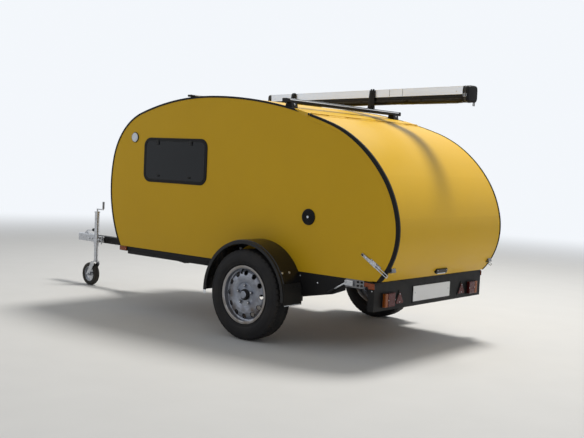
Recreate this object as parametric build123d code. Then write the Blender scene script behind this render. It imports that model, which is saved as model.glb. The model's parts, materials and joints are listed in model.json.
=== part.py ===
from build123d import *
import math
import os
from collections import namedtuple

# Teardrop trailer, in millimetres. X points forward, Y to the left, Z up.
# It is drawn about its axle: x = 0 over the axle, y = 0 on the middle, z = 0 on the floor.
# save() then shifts every piece along X, so that x = 0 is halfway from nose to tail.

# Body outline seen from the side: tangent arcs from the crown down both ends.
# sweep is the turn of an arc in degrees. One more arc at each end runs on to the body's base,
# which it meets at its BASE_TURN, so its radius follows from the heights. It gives out at ARC_END.
Arc = namedtuple("Arc", "radius sweep")
CROWN_X = 640.0
CROWN_Z = 1849.0
FRONT_ARCS = (Arc(2600.0, 18.5), Arc(540.0, 58.5))
FRONT_BASE_TURN = 120.6415
REAR_ARCS = (Arc(3900.0, 18.5), Arc(1000.0, 35.0), Arc(760.0, 24.5))
REAR_BASE_TURN = 133.9401
ARC_END = 170.0
BODY_HALF = 730.0
BODY_BASE = 549.0
WALL = 30.0
SHELL = 30.0
FLOOR_THICK = 20.0

# How far a cut runs past the faces it opens, and a size past the whole trailer
PAST = 1.0
BEYOND = 3000.0

# Hatch at the back, hinged across the roof
HINGE_X = -400.0
HATCH_THICK = 40.0
HATCH_GAP = 5.0
EDGE_WIDTH = 12.0
EDGE_PROUD = 3.0
BARREL_R = 5.0
PIN_R = 3.0
PIN_PLAY = 0.08
PIN_LIFT = 6.0
LEAF_THICK = 2.0
LEAF_START = 7.0
LEAF_LENGTH = 28.0
LEAF_WEB = 11.0
KNUCKLES = 7
KNUCKLE_GAP = 1.0

# Rooms inside
BULKHEAD_X = -352.0
BULKHEAD_THICK = 18.0
COUNTER_DROP = 849.0
BOARD = 15.0
COUNTER_THICK = 20.0
COUNTER_INSET = 65.0
DIVIDER_Y = 230.0
SHELF_DROP = 399.0
SHELF_REAR_X = -620.0
SHELF_LIP = 45.0

# Window in the left wall, door in the right wall and its window: ends along X, drops of their
# tops below the crown and of their sills, for the door its rise over the body's base
WINDOW_XS = (656.0, 1395.0)
WINDOW_DROPS = (358.0, 706.0)
WINDOW_CORNER = 60.0
FRAME_WIDTH = 24.0
FRAME_PROUD = 8.0
FRAME_EDGE = 3.0
GLASS_THICK = 4.0
GLASS_SUNK = 1.0
DOOR_XS = (440.0, 1140.0)
DOOR_DROP = 269.0
DOOR_RISE = 71.0
DOOR_CORNER = 90.0
DOOR_GAP = 5.0
DOOR_TRIM = 22.0
DOOR_TRIM_PROUD = 3.0
DOOR_WINDOW_XS = (560.0, 1020.0)
DOOR_WINDOW_DROPS = (369.0, 719.0)
DOOR_PIN_OUT = 10.0
DOOR_PIN_R = 3.0
DOOR_BARREL_R = 5.0
DOOR_BARREL_GAP = 1.0
DOOR_LEAF_FROM_PIN = 2.0
DOOR_HINGE_FROM_ENDS = 180.0
DOOR_HINGE_TALL = 70.0
DOOR_LEAF_LONG = 40.0
DOOR_STRAP_LONG = 60.0
DOOR_LEAF_THICK = 2.0
HANDLE_IN = 60.0
HANDLE_RISE = 440.0
HANDLE_PLATE = (70.0, 120.0, 8.0)
HANDLE_GRIP = (28.0, 84.0, 22.0)
HANDLE_CORNER = 10.0
HANDLE_EDGE = 3.0

# Lights and vents on the sides
MARKER_X = 1535.0
MARKER_DROP = 345.0
MARKER_R = 40.0
MARKER_PROUD = 14.0
MARKER_EDGE = 10.0
VENT_X = -434.0
VENT_RISE = 408.0
VENT_R = 60.0
VENT_PROUD = 10.0
VENT_EDGE = 6.0
VENT_BOSS_R = 9.0
VENT_BOSS_PROUD = 13.0

# Toggle latches on the walls and keepers on the hatch. The lower end of a latch lies this far
# over the body's base and in front of its rear outline; its reach goes forward and up from there.
LATCH_RISE = 67.0
LATCH_IN = 12.7
LATCH_REACH = (196.0, 119.0)
LEVER_TIP = 8.0
LEVER_ROOT = 14.0
LEVER_SHARE = 0.62
LEVER_PROUD = 14.0
LEVER_WALL = 2.5
LEVER_DEEP = 5.0
LEVER_HOLLOW = (0.1, 0.56)
BASE_FROM = 0.34
BASE_TO = 0.78
BASE_HALF = 17.0
BASE_THICK = 3.0
BAIL_R = 3.0
BAIL_HALF = 9.0
BAIL_OUT = 16.0
BAIL_DIP = 3.0
BAIL_BACK = 20.0
BAIL_PAST = 34.0
KEEPER_RISE = 91.0
KEEPER_SHEET = 4.0
KEEPER_WIDE = 48.0
KEEPER_FOOT = 18.0
KEEPER_PROUD = 22.0
KEEPER_NOSE = 4.0
KEEPER_IN = 4.0

# Number plate lamp on the hatch; it is drawn from a little way inside the curved face
LAMP_RISE = 51.0
LAMP_HALF = 75.0
LAMP_SUNK = 4.0
LAMP_FOOT = 16.0
LAMP_BACK = 8.0
LAMP_LOW = 12.0
LAMP_HIGH = 22.0

# Chassis: side rails, cross members, drawbar and its two braces
TUBE_WALL = 4.0
TUBE_CORNER = 6.0
RAIL_TALL = 42.0
RAIL_WIDE = 60.0
RAIL_IN = 2.0
RAIL_FRONT = 1690.0
RAIL_REAR = -1013.0
CROSS_WIDE = 40.0
CROSS_XS = (1650.0, 1085.0, 140.0, -993.0)
DRAWBAR = 70.0
DRAWBAR_REAR = 1065.0
BALL_PAST_DRAWBAR = 140.0
BRACE_WIDE = 50.0
BRACE_REAR = (1110.0, 500.0)
BRACE_FRONT_X = 2330.0

# Axle, wheels, mudguards
WHEEL_R = 343.0
TYRE_WIDE = 176.0
TYRE_BESIDE = 37.0
TREAD_SHOULDER_R = 339.0
SIDEWALL_R = 326.0
SIDEWALL_MID_R = 274.0
SIDEWALL_IN = 12.0
SHOULDER_IN = 26.0
GROOVES = (-42.0, -14.0, 14.0, 42.0)
GROOVE_WIDE = 9.0
GROOVE_DEEP = 7.0
GROOVE_TAPER = 2.0
SHOULDER_BULGE = 2.0
TYRE_OVER_FLANGE = 3.0
BEAD_PLAY = 0.2
BEAD_WALL = 11.0
RIM_BEAD_R = 203.0
RIM_FLANGE_R = 220.5
RIM_WIDE = 149.0
RIM_WELL_R = 189.0
RIM_WELL_HALF = 34.0
STEEL = 4.0
RIM_LIP = 12.0
RIM_SLOPE = 5.0
DISC_Y = 50.0
DISC_LINE = ((0.0, 40.0), (0.0, 88.0), (5.0, 96.0), (9.0, 118.0), (9.0, 140.0), (2.0, 168.0), (-16.0, 187.0))
DISC_TUCK = 1.0
DISC_HOLES = 12
DISC_HOLE_R = 17.0
DISC_HOLE_RING = 163.0
STUDS = 5
STUD_START = 0.25
STUD_CIRCLE = 139.7
NUT_R = 11.0
NUT_TALL = 16.0
HUB_R = 62.0
HUB_NECK_R = 50.0
HUB_FLARE = 25.0
HUB_IN = -50.0
CAP_R = 30.0
CAP_COLLAR = 12.0
CAP_EDGE = 6.0
CAP_OUT = 82.0
STUB_R = 17.5
STUB_PAST = 60.0
BEAM = 60.0
BEAM_X = 140.0
BEAM_BELOW = 47.0
ARM_THICK = 30.0
ARM_BESIDE = 5.0
ARM_HEAD_R = 42.0
ARM_EYE_R = 32.0
SEAT_HALF = 60.0
SEAT_WIDE = 50.0
GUARD_ABOVE = 72.0
GUARD_SHEET = 4.0
GUARD_PAST = 7.0
GUARD_LIP = 28.0
GUARD_STEP = 6.0
GUARD_MITRE = 2.0
GUARD_SHELF = 22.0
GUARD_BEAD_R = 5.0
GUARD_FLANGE = 35.0
GUARD_DROP = 8.0
FLAP_THICK = 4.0
FLAP_IN = 20.0
FLAP_RISE = 127.0
FLAP_BASE = 310.0

# Tail panel with its lamps
PANEL_PAST = 27.0
PANEL_BELOW = 4.0
PANEL_TALL = 202.0
PANEL_DEEP = 50.0
PANEL_SHEET = 3.0
PANEL_CORNER = 6.0
PLATE = (520.0, 112.0)
PLATE_UP = 89.0
PLATE_CORNER = 4.0
PLATE_THICK = 2.0
HOLDER_THICK = 4.0
HOLDER_MORE = 6.0
HOLDER_BROW = 4.0
HOLDER_CHIN = 12.0
LAMP_FROM_END = 98.0
LAMP_SIZE = (134.0, 104.0)
LAMP_UP = 23.0
LAMP_TRAY = 8.0
LAMP_RIM = 4.0
LAMP_PROUD = 30.0
INDICATOR_WIDE = 36.0
LENS_SPLIT = 1.0
LENS_CORNER = 6.0
LENS_EDGE = 4.0
REFLECTOR_FROM_END = 252.0
REFLECTOR_WIDE = 128.0
REFLECTOR_UP = 29.0
REFLECTOR_FRAME = 8.0
REFLECTOR_THICK = 5.0
REFLECTOR_PROUD = 9.0
REFLECTOR_CORNER = 8.0
SideMarker = namedtuple("SideMarker", "rear front drop tall")
SIDE_MARKERS = (SideMarker(1600.0, 1690.0, 3.0, 36.0), SideMarker(-1012.0, -965.0, 10.0, 29.0))
SIDE_MARKER_THICK = 12.0
SIDE_MARKER_CORNER = 5.0

# Coupling head on the drawbar
BALL_X = 3200.0
BALL_R = 25.0
BALL_DROP = 55.0
HEAD_R = 42.0
HEAD_PLAY = 0.5
HEAD_SHEET = 5.0
HEAD_LONG = 240.0
HEAD_DROP = 69.0
HEAD_EDGE = 9.0
SOCKET_WALL = 7.0

# Release lever of the coupling: its outline as distances back from the head and up from its top
LEVER_WIDE = 28.0
LEVER_EDGE = 2.25
LEVER_SIDE = ((0.0, 0.0), (49.5, 36.8), (165.0, 46.0), (165.0, 37.0), (56.1, 27.8), (46.2, 0.0))

# Jockey wheel: clamp, outer tube with crank, inner tube, fork, wheel and tyre
JOCKEY_BEHIND_HEAD = 120.0
JOCKEY_BESIDE = 65.0
JOCKEY_TYRE_R = 115.0
JOCKEY_TYRE_WIDE = 56.0
JOCKEY_TYRE_EDGE = 18.0
JOCKEY_RIM_R = 76.0
JOCKEY_HUB_R = 16.0
JOCKEY_WEB = 5.0
JOCKEY_AXLE_R = 8.0
JOCKEY_TRAIL = 75.0
TUBE_R = 24.0
TUBE_BASE = 400.0
TUBE_TOP = 760.0
TUBE_CAP = 6.0
COLLAR_R = 28.0
COLLAR_TALL = 14.0
INNER_R = 20.5
INNER_PLAY = 0.4
INNER_WALL = 4.0
INNER_TOP = 590.0
INNER_PLUG = 60.0
SWIVEL_PLAY = 1.0
FORK_TOP = 255.0
FORK_GAP = 4.0
FORK_PLATE = 6.0
FORK_SHEET = 5.0
FORK_BESIDE = 6.0
FORK_SHOULDER_R = 26.0
FORK_EYE_R = 20.0
KING_R = 8.0
KING_LONG = 47.0
KING_HEAD_R = 28.0
CRANK_R = 6.0
CRANK_KNOB_R = 9.0
CRANK_LONG = 95.0
CRANK_RISE = 24.0
GRIP_R = 10.0
GRIP_TALL = 75.0
GRIP_EDGE = 3.0
CLAMP_BELOW = 4.0
CLAMP_TALL = 60.0
CLAMP_WALL = 8.0
CLAMP_PLATE = (90.0, 10.0)
SCREW_R = 6.0
SCREW_LONG = 48.0
BOSS_R = 12.0
BOSS_LONG = 19.0
TEE_HALF = 38.0

# Rear corner steadies, folded forward under the floor beside the rails
STEADY_X = -880.0
STEADY_BESIDE = 38.0
STEADY_DROP = 27.0
STEADY_R = 19.0
STEADY_WALL = 3.0
STEADY_REACH = 500.0
STEADY_PLUG = 38.0
STEADY_PIN_R = 8.0
STEADY_PIN_PAST = 8.0
FOOT_R = 24.0
FOOT_THICK = 4.0
CLAMP_HALF = 80.0
CLAMP_DROP = 59.0
CLAMP_SHEET = 5.0
CLAMP_HOLE = (22.0, 15.0)
CLAMP_HOLES_BACK = (28.0, 60.0)
CLAMP_HOLES_DROP = (15.0, 41.0)
CLAMP_CORNER = 5.0
SADDLE = (72.0, 40.0, 22.0)
SADDLE_EDGE = 4.0
HAND_FROM_END = 8.0
HAND_REACH = (150.0, 5.5, -88.0)
HAND_R = 5.0
HAND_GRIP_R = 8.0
HAND_GRIP_START = 0.66

# Roof bars: lift of the bar off the roof, its height, and how far it reaches past the walls
RoofBar = namedtuple("RoofBar", "x lift tall past")
REAR_BAR = RoofBar(-180.0, 30.0, 32.0, 27.0)
FRONT_BAR = RoofBar(853.0, 5.5, 16.0, 15.0)
BAR_WIDE = 50.0
BAR_EDGE = 7.0
BAR_SHEET = 3.0
BAR_FOOT_IN = 50.0
BAR_FOOT_HALF = 35.0
BAR_FOOT_WIDE = 38.0
BAR_FOOT_DEEP = 30.0

# Awning: it rests on the front bar and on holders, level, its near face turned by a yaw.
# Its near rear corner lies this far in from the right side.
AWNING_FROM_SIDE = 577.0
AWNING_DEEP = 110.0
AWNING_REAR_X = -1196.0
AWNING_LENGTH = 2500.0
AWNING_YAW = 11.5
AWNING_TALL = 121.0
AWNING_PLATE_TALL = 64.0
AWNING_SHEET = 5.0
AWNING_BACK_LIP = 16.0
AWNING_LIP_PLAY = 1.0
AWNING_BAG_CORNER = 24.0
AWNING_CAP = 55.0
AWNING_CAP_CORNER = 10.0
AWNING_PLAY = 0.3
HOLD_FOOT_HALF = 25.0
HOLD_TOP_HALF = 18.0
HOLD_DEEP = 10.0
HOLD_WALL = 3.0
HOLD_EAR = 10.0
HOLD_EAR_TALL = 6.0
HOLD_POCKET = 12.0
HOLD_FOOT_LONG = 60.0
HOLD_FOOT_BACK = 5.0
HOLD_FOOT_THICK = 5.0

# Gas struts beside the galley
STRUT_ROOT_X = -550.0
STRUT_ROOT_DROP = 549.0
STUD_TURN = -70.0
STUD_INSET = 75.0
STRUT_BESIDE = 25.0
CYLINDER_R = 11.0
ROD_R = 5.0
ROD_PLAY = 0.3
EYE_R = 10.0
EYE_HALF = 5.0
STRUT_STUD_R = 4.0
STRUT_COVER = 0.62
STUD_PAST = 3.0
STUD_CLEAR = 2.0
CYLINDER_START = 8.0
BORE_START = 40.0
ROD_START = 60.0
HORN_HALF = 25.0
HORN_TIP = 8.0
HORN_PAST = 10.0
HORN_SHEET = 6.0
HORN_BESIDE = 14.0

NOSE = BALL_X + HEAD_R
inner_half = BODY_HALF - WALL
window = (*WINDOW_XS, CROWN_Z - WINDOW_DROPS[1], CROWN_Z - WINDOW_DROPS[0])
door_window = (*DOOR_WINDOW_XS, CROWN_Z - DOOR_WINDOW_DROPS[1], CROWN_Z - DOOR_WINDOW_DROPS[0])
doorway = (*DOOR_XS, BODY_BASE + DOOR_RISE, CROWN_Z - DOOR_DROP)
drawbar_front = BALL_X - BALL_PAST_DRAWBAR
head_rear = BALL_X - HEAD_LONG
jockey_x = head_rear - JOCKEY_BEHIND_HEAD
rail_base = BODY_BASE - RAIL_TALL
rail_out = BODY_HALF - RAIL_IN
rail_in = rail_out - RAIL_WIDE
drawbar_base = rail_base - DRAWBAR
tyre_mid = BODY_HALF + TYRE_BESIDE + TYRE_WIDE / 2
guard_r = WHEEL_R + GUARD_ABOVE
guard_out = tyre_mid + TYRE_WIDE / 2 + GUARD_PAST


def arc_table():
    """Arcs of the outline, tail to nose: (from, to, centre x, centre z, radius), turns from upright."""
    arcs = []
    for side, table, base_turn in ((1, FRONT_ARCS, FRONT_BASE_TURN), (-1, REAR_ARCS, REAR_BASE_TURN)):
        x, z, turn = CROWN_X, CROWN_Z, 0.0
        for arc in table:
            a = math.radians(turn)
            cx = x - side * arc.radius * math.sin(a)
            cz = z - arc.radius * math.cos(a)
            ends = sorted((side * turn, side * (turn + arc.sweep)))
            arcs.append((ends[0], ends[1], cx, cz, arc.radius))
            turn += arc.sweep
            a = math.radians(turn)
            x = cx + side * arc.radius * math.sin(a)
            z = cz + arc.radius * math.cos(a)
        radius = (z - BODY_BASE) / (math.cos(a) - math.cos(math.radians(base_turn)))
        ends = sorted((side * turn, side * ARC_END))
        arcs.append((ends[0], ends[1], x - side * radius * math.sin(a), z - radius * math.cos(a), radius))
    return sorted(arcs)


ARCS = arc_table()


def skin(turn, inset=0.0, along=0.0):
    """Point of the outline where it faces turn degrees from upright, moved in and along."""
    for low, high, cx, cz, radius in ARCS:
        if low <= turn <= high:
            break
    a = math.radians(turn)
    x = cx + (radius - inset) * math.sin(a) + along * math.cos(a)
    z = cz + (radius - inset) * math.cos(a) - along * math.sin(a)
    return x, z


def turn_at_z(z, end, inset=0.0):
    """Turn at which the outline, moved in, comes down to height z: end is 1 in front, -1 behind."""
    for low, high, cx, cz, radius in ARCS:
        if low * end < 0 and high * end <= 0:
            continue
        cosine = (z - cz) / (radius - inset)
        if abs(cosine) <= 1:
            turn = end * math.degrees(math.acos(cosine))
            if low <= turn <= high:
                return turn
    raise ValueError("the outline does not reach that height")


def turn_at_x(x):
    """Turn at which the roof passes over x."""
    for low, high, cx, cz, radius in ARCS:
        sine = (x - cx) / radius
        if abs(sine) <= 1:
            turn = math.degrees(math.asin(sine))
            if low <= turn <= high:
                return turn
    raise ValueError("no roof over that place")


def roof_z(x):
    return skin(turn_at_x(x))[1]


def turn_for(length, turn):
    """Turn reached by going a length along the outline from a turn."""
    for low, high, cx, cz, radius in ARCS:
        if low <= turn <= high:
            return turn + math.degrees(length / radius)


HINGE_TURN = turn_at_x(HINGE_X)
TAIL = skin(-90, -EDGE_PROUD)[0]
SHIFT = -(NOSE + TAIL) / 2


def line(a, b):
    return Edge.make_line(a, b)


def arcs_between(start, stop, inset, y):
    """Edges of the outline, moved in, from one turn to another."""
    edges = []
    for low, high, cx, cz, radius in ARCS:
        a = max(low, start)
        b = min(high, stop)
        if b - a > 1e-6:
            points = []
            for turn in (a, (a + b) / 2, b):
                angle = math.radians(turn)
                reach = radius - inset
                points.append((cx + reach * math.sin(angle), y, cz + reach * math.cos(angle)))
            edges.append(Edge.make_three_point_arc(*points))
    return edges


def prism(edges, y0, y1):
    """Solid of a closed outline drawn at y0, reaching to y1."""
    return extrude(Face(Wire(edges)), amount=y1 - y0, dir=(0, 1, 0))


def band(outer, inner, y0, y1, start=None, stop=None, base=BODY_BASE):
    """Curved panel between two insets; an end left out runs down to the base."""
    turns = []
    for inset in (outer, inner):
        first = turn_at_z(base, -1, inset) if start is None else start
        last = turn_at_z(base, 1, inset) if stop is None else stop
        turns.append((first, last))
    above = arcs_between(turns[0][0], turns[0][1], outer, y0)
    below = arcs_between(turns[1][0], turns[1][1], inner, y0)
    ends = [line(above[0] @ 0, below[0] @ 0), line(above[-1] @ 1, below[-1] @ 1)]
    return prism(above + below + ends, y0, y1)


def area(front_inset, rear_inset, y0, y1, base=BODY_BASE):
    """Whole side of the body as a plate, moved in behind the hinge by the rear inset."""
    front = arcs_between(HINGE_TURN, turn_at_z(base, 1, front_inset), front_inset, y0)
    rear = arcs_between(turn_at_z(base, -1, rear_inset), HINGE_TURN, rear_inset, y0)
    ends = [line(rear[0] @ 0, front[-1] @ 1)]
    if (rear[-1] @ 1 - front[0] @ 0).length > 1e-6:
        ends.append(line(rear[-1] @ 1, front[0] @ 0))
    return prism(front + rear + ends, y0, y1)


def block(x0, x1, y0, y1, z0, z1):
    """Box from its low and high sides."""
    middle = Pos((x0 + x1) / 2, (y0 + y1) / 2, (z0 + z1) / 2)
    return middle * Box(abs(x1 - x0), abs(y1 - y0), abs(z1 - z0))


def tube(along, x0, x1, y0, y1, z0, z1):
    """Steel box section with round corners, open at both ends along X or Y."""
    body = fillet(block(x0, x1, y0, y1, z0, z1).edges().filter_by(along), TUBE_CORNER)
    wall = TUBE_WALL
    if along == Axis.X:
        return body - block(x0 - PAST, x1 + PAST, y0 + wall, y1 - wall, z0 + wall, z1 - wall)
    return body - block(x0 + wall, x1 - wall, y0 - PAST, y1 + PAST, z0 + wall, z1 - wall)


def rod_y(x, z, radius, y0, y1):
    """Round bar along Y."""
    return Pos(x, (y0 + y1) / 2, z) * Rot(90, 0, 0) * Cylinder(radius, abs(y1 - y0))


def rod_z(x, y, radius, z0, z1):
    """Upright round bar."""
    return Pos(x, y, (z0 + z1) / 2) * Cylinder(radius, z1 - z0)


def rod_x(y, z, radius, x0, x1):
    """Round bar along X."""
    return Pos((x0 + x1) / 2, y, z) * Rot(0, 90, 0) * Cylinder(radius, x1 - x0)


def bar(a, b, radius):
    """Round bar between two points."""
    a = Vector(*a)
    reach = Vector(*b) - a
    return extrude(Plane(origin=a, z_dir=reach) * Circle(radius), amount=reach.length)


def pane(rectangle, corner, y0, y1):
    """Upright plate with round corners: rectangle is low x, high x, low z, high z."""
    x0, x1, z0, z1 = rectangle
    sheet = Plane(origin=((x0 + x1) / 2, y0, (z0 + z1) / 2), x_dir=(1, 0, 0), z_dir=(0, 1, 0))
    return extrude(sheet * RectangleRounded(x1 - x0, z1 - z0, corner), amount=y1 - y0, dir=(0, 1, 0))


def grown(rectangle, more):
    x0, x1, z0, z1 = rectangle
    return x0 - more, x1 + more, z0 - more, z1 + more


def around(x, z, wide, tall):
    return x - wide / 2, x + wide / 2, z - tall / 2, z + tall / 2


def rear_plate(y0, y1, z0, z1, x0, x1, corner):
    """Plate across the trailer with round corners, from x1 back to x0."""
    sheet = Plane(origin=(x1, (y0 + y1) / 2, (z0 + z1) / 2), x_dir=(0, 1, 0), z_dir=(-1, 0, 0))
    return extrude(sheet * RectangleRounded(abs(y1 - y0), z1 - z0, corner), amount=x1 - x0)


def polygon(points, y0, y1):
    """Prism of straight sides: points are (x, z) pairs."""
    edges = []
    for here, there in zip(points, points[1:] + points[:1]):
        edges.append(line((here[0], y0, here[1]), (there[0], y0, there[1])))
    return prism(edges, y0, y1)


def link(a, b, y0, y1):
    """Arm with round ends, wide as its tangents: a and b are (x, z, radius)."""
    dx = b[0] - a[0]
    dz = b[1] - a[1]
    heading = math.atan2(dz, dx)
    spread = math.acos((a[2] - b[2]) / math.hypot(dx, dz))
    points = []
    for end, angle in ((a, spread), (b, spread), (b, -spread), (a, -spread)):
        turn = heading + angle
        points.append((end[0] + end[2] * math.cos(turn), end[1] + end[2] * math.sin(turn)))
    low = min(y0, y1)
    high = max(y0, y1)
    arm = polygon(points, low, high)
    return arm + rod_y(a[0], a[1], a[2], low, high) + rod_y(b[0], b[1], b[2], low, high)


def turned(points, sweep=360.0, start=0.0):
    """Solid of a section of (y, radius) pairs, turned about Y from a start angle above the front."""
    corners = [Vector(r, y, 0) for y, r in points]
    edges = [line(a, b) for a, b in zip(corners, corners[1:] + corners[:1])]
    solid = revolve(Face(Wire(edges)), Axis((0, 0, 0), (0, -1, 0)), revolution_arc=sweep)
    return Rot(0, -start, 0) * solid


def both(piece):
    """The solids of the piece and their mirrors on the other side."""
    solids = list(piece.solids())
    return Compound(solids + [mirror(solid, about=Plane.XZ) for solid in solids])


def save(name, *pieces):
    """Write the solids of some pieces as one node, shifted along X."""
    solids = [Pos(SHIFT, 0, 0) * solid for piece in pieces for solid in piece.solids()]
    export_step(Compound(solids), "parts/" + name + ".step")


os.makedirs("parts", exist_ok=True)

# Body shell
hinge_gap = turn_for(HATCH_GAP / 2, HINGE_TURN) - HINGE_TURN
rear_inset = HATCH_THICK + HATCH_GAP
left_wall = area(0, rear_inset, inner_half, BODY_HALF)
right_wall = area(0, rear_inset, -BODY_HALF, -inner_half)
save("side_left", left_wall - pane(window, WINDOW_CORNER, inner_half - PAST, BODY_HALF + PAST))
save("side_right", right_wall - pane(doorway, DOOR_CORNER, -BODY_HALF - PAST, PAST - inner_half))
save("roof_shell", band(0, SHELL, -inner_half, inner_half, start=HINGE_TURN + hinge_gap))

inside = area(SHELL, rear_inset, -inner_half, inner_half)
floor_top = BODY_BASE + FLOOR_THICK
save("floor", inside & block(-BEYOND, BEYOND, -inner_half, inner_half, BODY_BASE, floor_top))
bulkhead_rear = BULKHEAD_X - BULKHEAD_THICK
save("bulkhead", inside & block(bulkhead_rear, BULKHEAD_X, -inner_half, inner_half, floor_top, CROWN_Z))

galley_room = area(SHELL, COUNTER_INSET, -inner_half, inner_half)
counter_top = CROWN_Z - COUNTER_DROP
counter_base = counter_top - COUNTER_THICK
counter = galley_room & block(-BEYOND, bulkhead_rear, -inner_half, inner_half, counter_base, counter_top)
for y in (-DIVIDER_Y, DIVIDER_Y):
    under = block(-BEYOND, bulkhead_rear, y - BOARD / 2, y + BOARD / 2, floor_top, counter_base)
    counter += galley_room & under
shelf_top = CROWN_Z - SHELF_DROP
shelf = block(SHELF_REAR_X, bulkhead_rear, -inner_half, inner_half, shelf_top - BOARD, shelf_top)
lip_top = shelf_top + SHELF_LIP
shelf += block(SHELF_REAR_X, SHELF_REAR_X + BOARD, -inner_half, inner_half, shelf_top, lip_top)
save("galley", counter, shelf)

# Black edge trim round both sides, from the front corner over the roof to the hatch
trim_start = HINGE_TURN + hinge_gap
trim = band(-EDGE_PROUD, EDGE_WIDTH, BODY_HALF, BODY_HALF + EDGE_PROUD, start=trim_start)
trim += band(-EDGE_PROUD, 0, BODY_HALF - EDGE_WIDTH, BODY_HALF, start=trim_start)
save("edge_trim", both(trim))

# Hatch: a curved panel with black edges that cover the side walls
hatch_stop = HINGE_TURN - hinge_gap
hatch_half = BODY_HALF - EDGE_WIDTH
hatch_base = BODY_BASE + HATCH_GAP
hatch_out = BODY_HALF + EDGE_PROUD
save("hatch_panel", band(0, HATCH_THICK, -hatch_half, hatch_half, stop=hatch_stop, base=hatch_base))
hatch_edge = band(-EDGE_PROUD, HATCH_THICK, hatch_half, hatch_out, stop=hatch_stop, base=hatch_base)
save("hatch_edges", both(hatch_edge))

# Hatch hinge: knuckles in turn on the roof's leaf and on the hatch's, round one pin
pin_x, pin_z = skin(HINGE_TURN, -PIN_LIFT)
knuckle = 2 * hatch_half / KNUCKLES
leaves = []
for side in (1, -1):
    near = turn_for(side * LEAF_START, HINGE_TURN)
    far = turn_for(side * (LEAF_START + LEAF_LENGTH), HINGE_TURN)
    leaf = band(-LEAF_THICK, 0, -hatch_half, hatch_half, start=min(near, far), stop=max(near, far))
    corners = ((0, -PIN_LIFT - BARREL_R), (LEAF_WEB, -LEAF_THICK), (LEAF_WEB, 0), (0, -PIN_LIFT))
    web = [skin(HINGE_TURN, inset, side * along) for along, inset in corners]
    for i in range(KNUCKLES):
        if (i % 2 == 0) == (side == 1):
            y0 = -hatch_half + i * knuckle + KNUCKLE_GAP / 2
            y1 = y0 + knuckle - KNUCKLE_GAP
            leaf += polygon(web, y0, y1)
            leaf += rod_y(pin_x, pin_z, BARREL_R, y0, y1)
    leaves.append(leaf)
save("hatch_hinge_roof", leaves[0] + rod_y(pin_x, pin_z, PIN_R, -hatch_half, hatch_half))
save("hatch_hinge_leaf", leaves[1] - rod_y(pin_x, pin_z, PIN_R + PIN_PLAY, -BODY_HALF, BODY_HALF))


def window_ring(rectangle):
    """Frame of a window in a left wall: a flange outside and a collar through the wall."""
    flange_corner = WINDOW_CORNER + FRAME_WIDTH / 2
    flange = pane(grown(rectangle, FRAME_WIDTH / 2), flange_corner, BODY_HALF, BODY_HALF + FRAME_PROUD)
    flange = fillet(flange.faces().sort_by(Axis.Y)[-1].edges(), FRAME_EDGE)
    collar = pane(rectangle, WINDOW_CORNER, inner_half, BODY_HALF)
    clear = pane(grown(rectangle, -FRAME_WIDTH / 2), WINDOW_CORNER - FRAME_WIDTH / 2, 0, BODY_HALF * 2)
    return flange + collar - clear


def window_pane(rectangle):
    """Glass of a window in a left wall."""
    outside = BODY_HALF + FRAME_PROUD - GLASS_SUNK
    sight = grown(rectangle, -FRAME_WIDTH / 2)
    return pane(sight, WINDOW_CORNER - FRAME_WIDTH / 2, outside - GLASS_THICK, outside)


# Left window
save("window_frame", window_ring(window))
save("window_glass", window_pane(window))

# Right door with its window, the trim on the wall, the handle and two hinges
door = pane(grown(doorway, -DOOR_GAP), DOOR_CORNER - DOOR_GAP, -BODY_HALF, -inner_half)
save("door_panel", door - pane(door_window, WINDOW_CORNER, -BODY_HALF - PAST, PAST - inner_half))
save("door_window", mirror(window_pane(door_window), about=Plane.XZ))
trim_out = -BODY_HALF - DOOR_TRIM_PROUD
door_trim = pane(grown(doorway, DOOR_TRIM), DOOR_CORNER + DOOR_TRIM, trim_out, -BODY_HALF)
save("door_frame", door_trim - pane(doorway, DOOR_CORNER, -BODY_HALF * 2, 0))
grip_wide, grip_tall, grip_proud = HANDLE_GRIP
plate_wide, plate_tall, plate_proud = HANDLE_PLATE
handle_x = doorway[0] + HANDLE_IN
handle_z = doorway[2] + HANDLE_RISE
handle_plate = around(handle_x, handle_z, plate_wide, plate_tall)
handle = pane(handle_plate, HANDLE_CORNER, -BODY_HALF - plate_proud, -BODY_HALF)
handle_grip = around(handle_x, handle_z, grip_wide, grip_tall)
grip = pane(handle_grip, HANDLE_CORNER, -BODY_HALF - grip_proud, -BODY_HALF)
handle += fillet(grip.faces().sort_by(Axis.Y)[0].edges(), HANDLE_EDGE)
save("door_fittings", mirror(window_ring(door_window), about=Plane.XZ), handle)

hinge_x = doorway[1]
hinge_y = -BODY_HALF - DOOR_PIN_OUT
leaf_out = hinge_y - DOOR_LEAF_THICK
third = DOOR_HINGE_TALL / 3
fixed = []
moving = []
for z in (doorway[2] + DOOR_HINGE_FROM_ENDS, doorway[3] - DOOR_HINGE_FROM_ENDS):
    top = z + DOOR_HINGE_TALL
    leaf = rod_z(hinge_x, hinge_y, DOOR_PIN_R, z, top)
    for low, high in ((z, z + third - DOOR_BARREL_GAP), (z + 2 * third + DOOR_BARREL_GAP, top)):
        leaf += block(hinge_x + DOOR_LEAF_FROM_PIN, hinge_x + DOOR_LEAF_LONG, leaf_out, trim_out, low, high)
        leaf += rod_z(hinge_x, hinge_y, DOOR_BARREL_R, low, high)
    fixed.append(leaf)
    strap = block(hinge_x - DOOR_STRAP_LONG, hinge_x, leaf_out, -BODY_HALF, z + third, z + 2 * third)
    strap += rod_z(hinge_x, hinge_y, DOOR_BARREL_R, z + third, z + 2 * third)
    strap -= rod_z(hinge_x, hinge_y, DOOR_PIN_R + PIN_PLAY, z, top)
    clear_y = trim_out - DOOR_BARREL_GAP
    strap -= block(hinge_x - DOOR_GAP - PAST, hinge_x + DOOR_BARREL_R + PAST, clear_y, 0, z, top)
    moving.append(strap)
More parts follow.
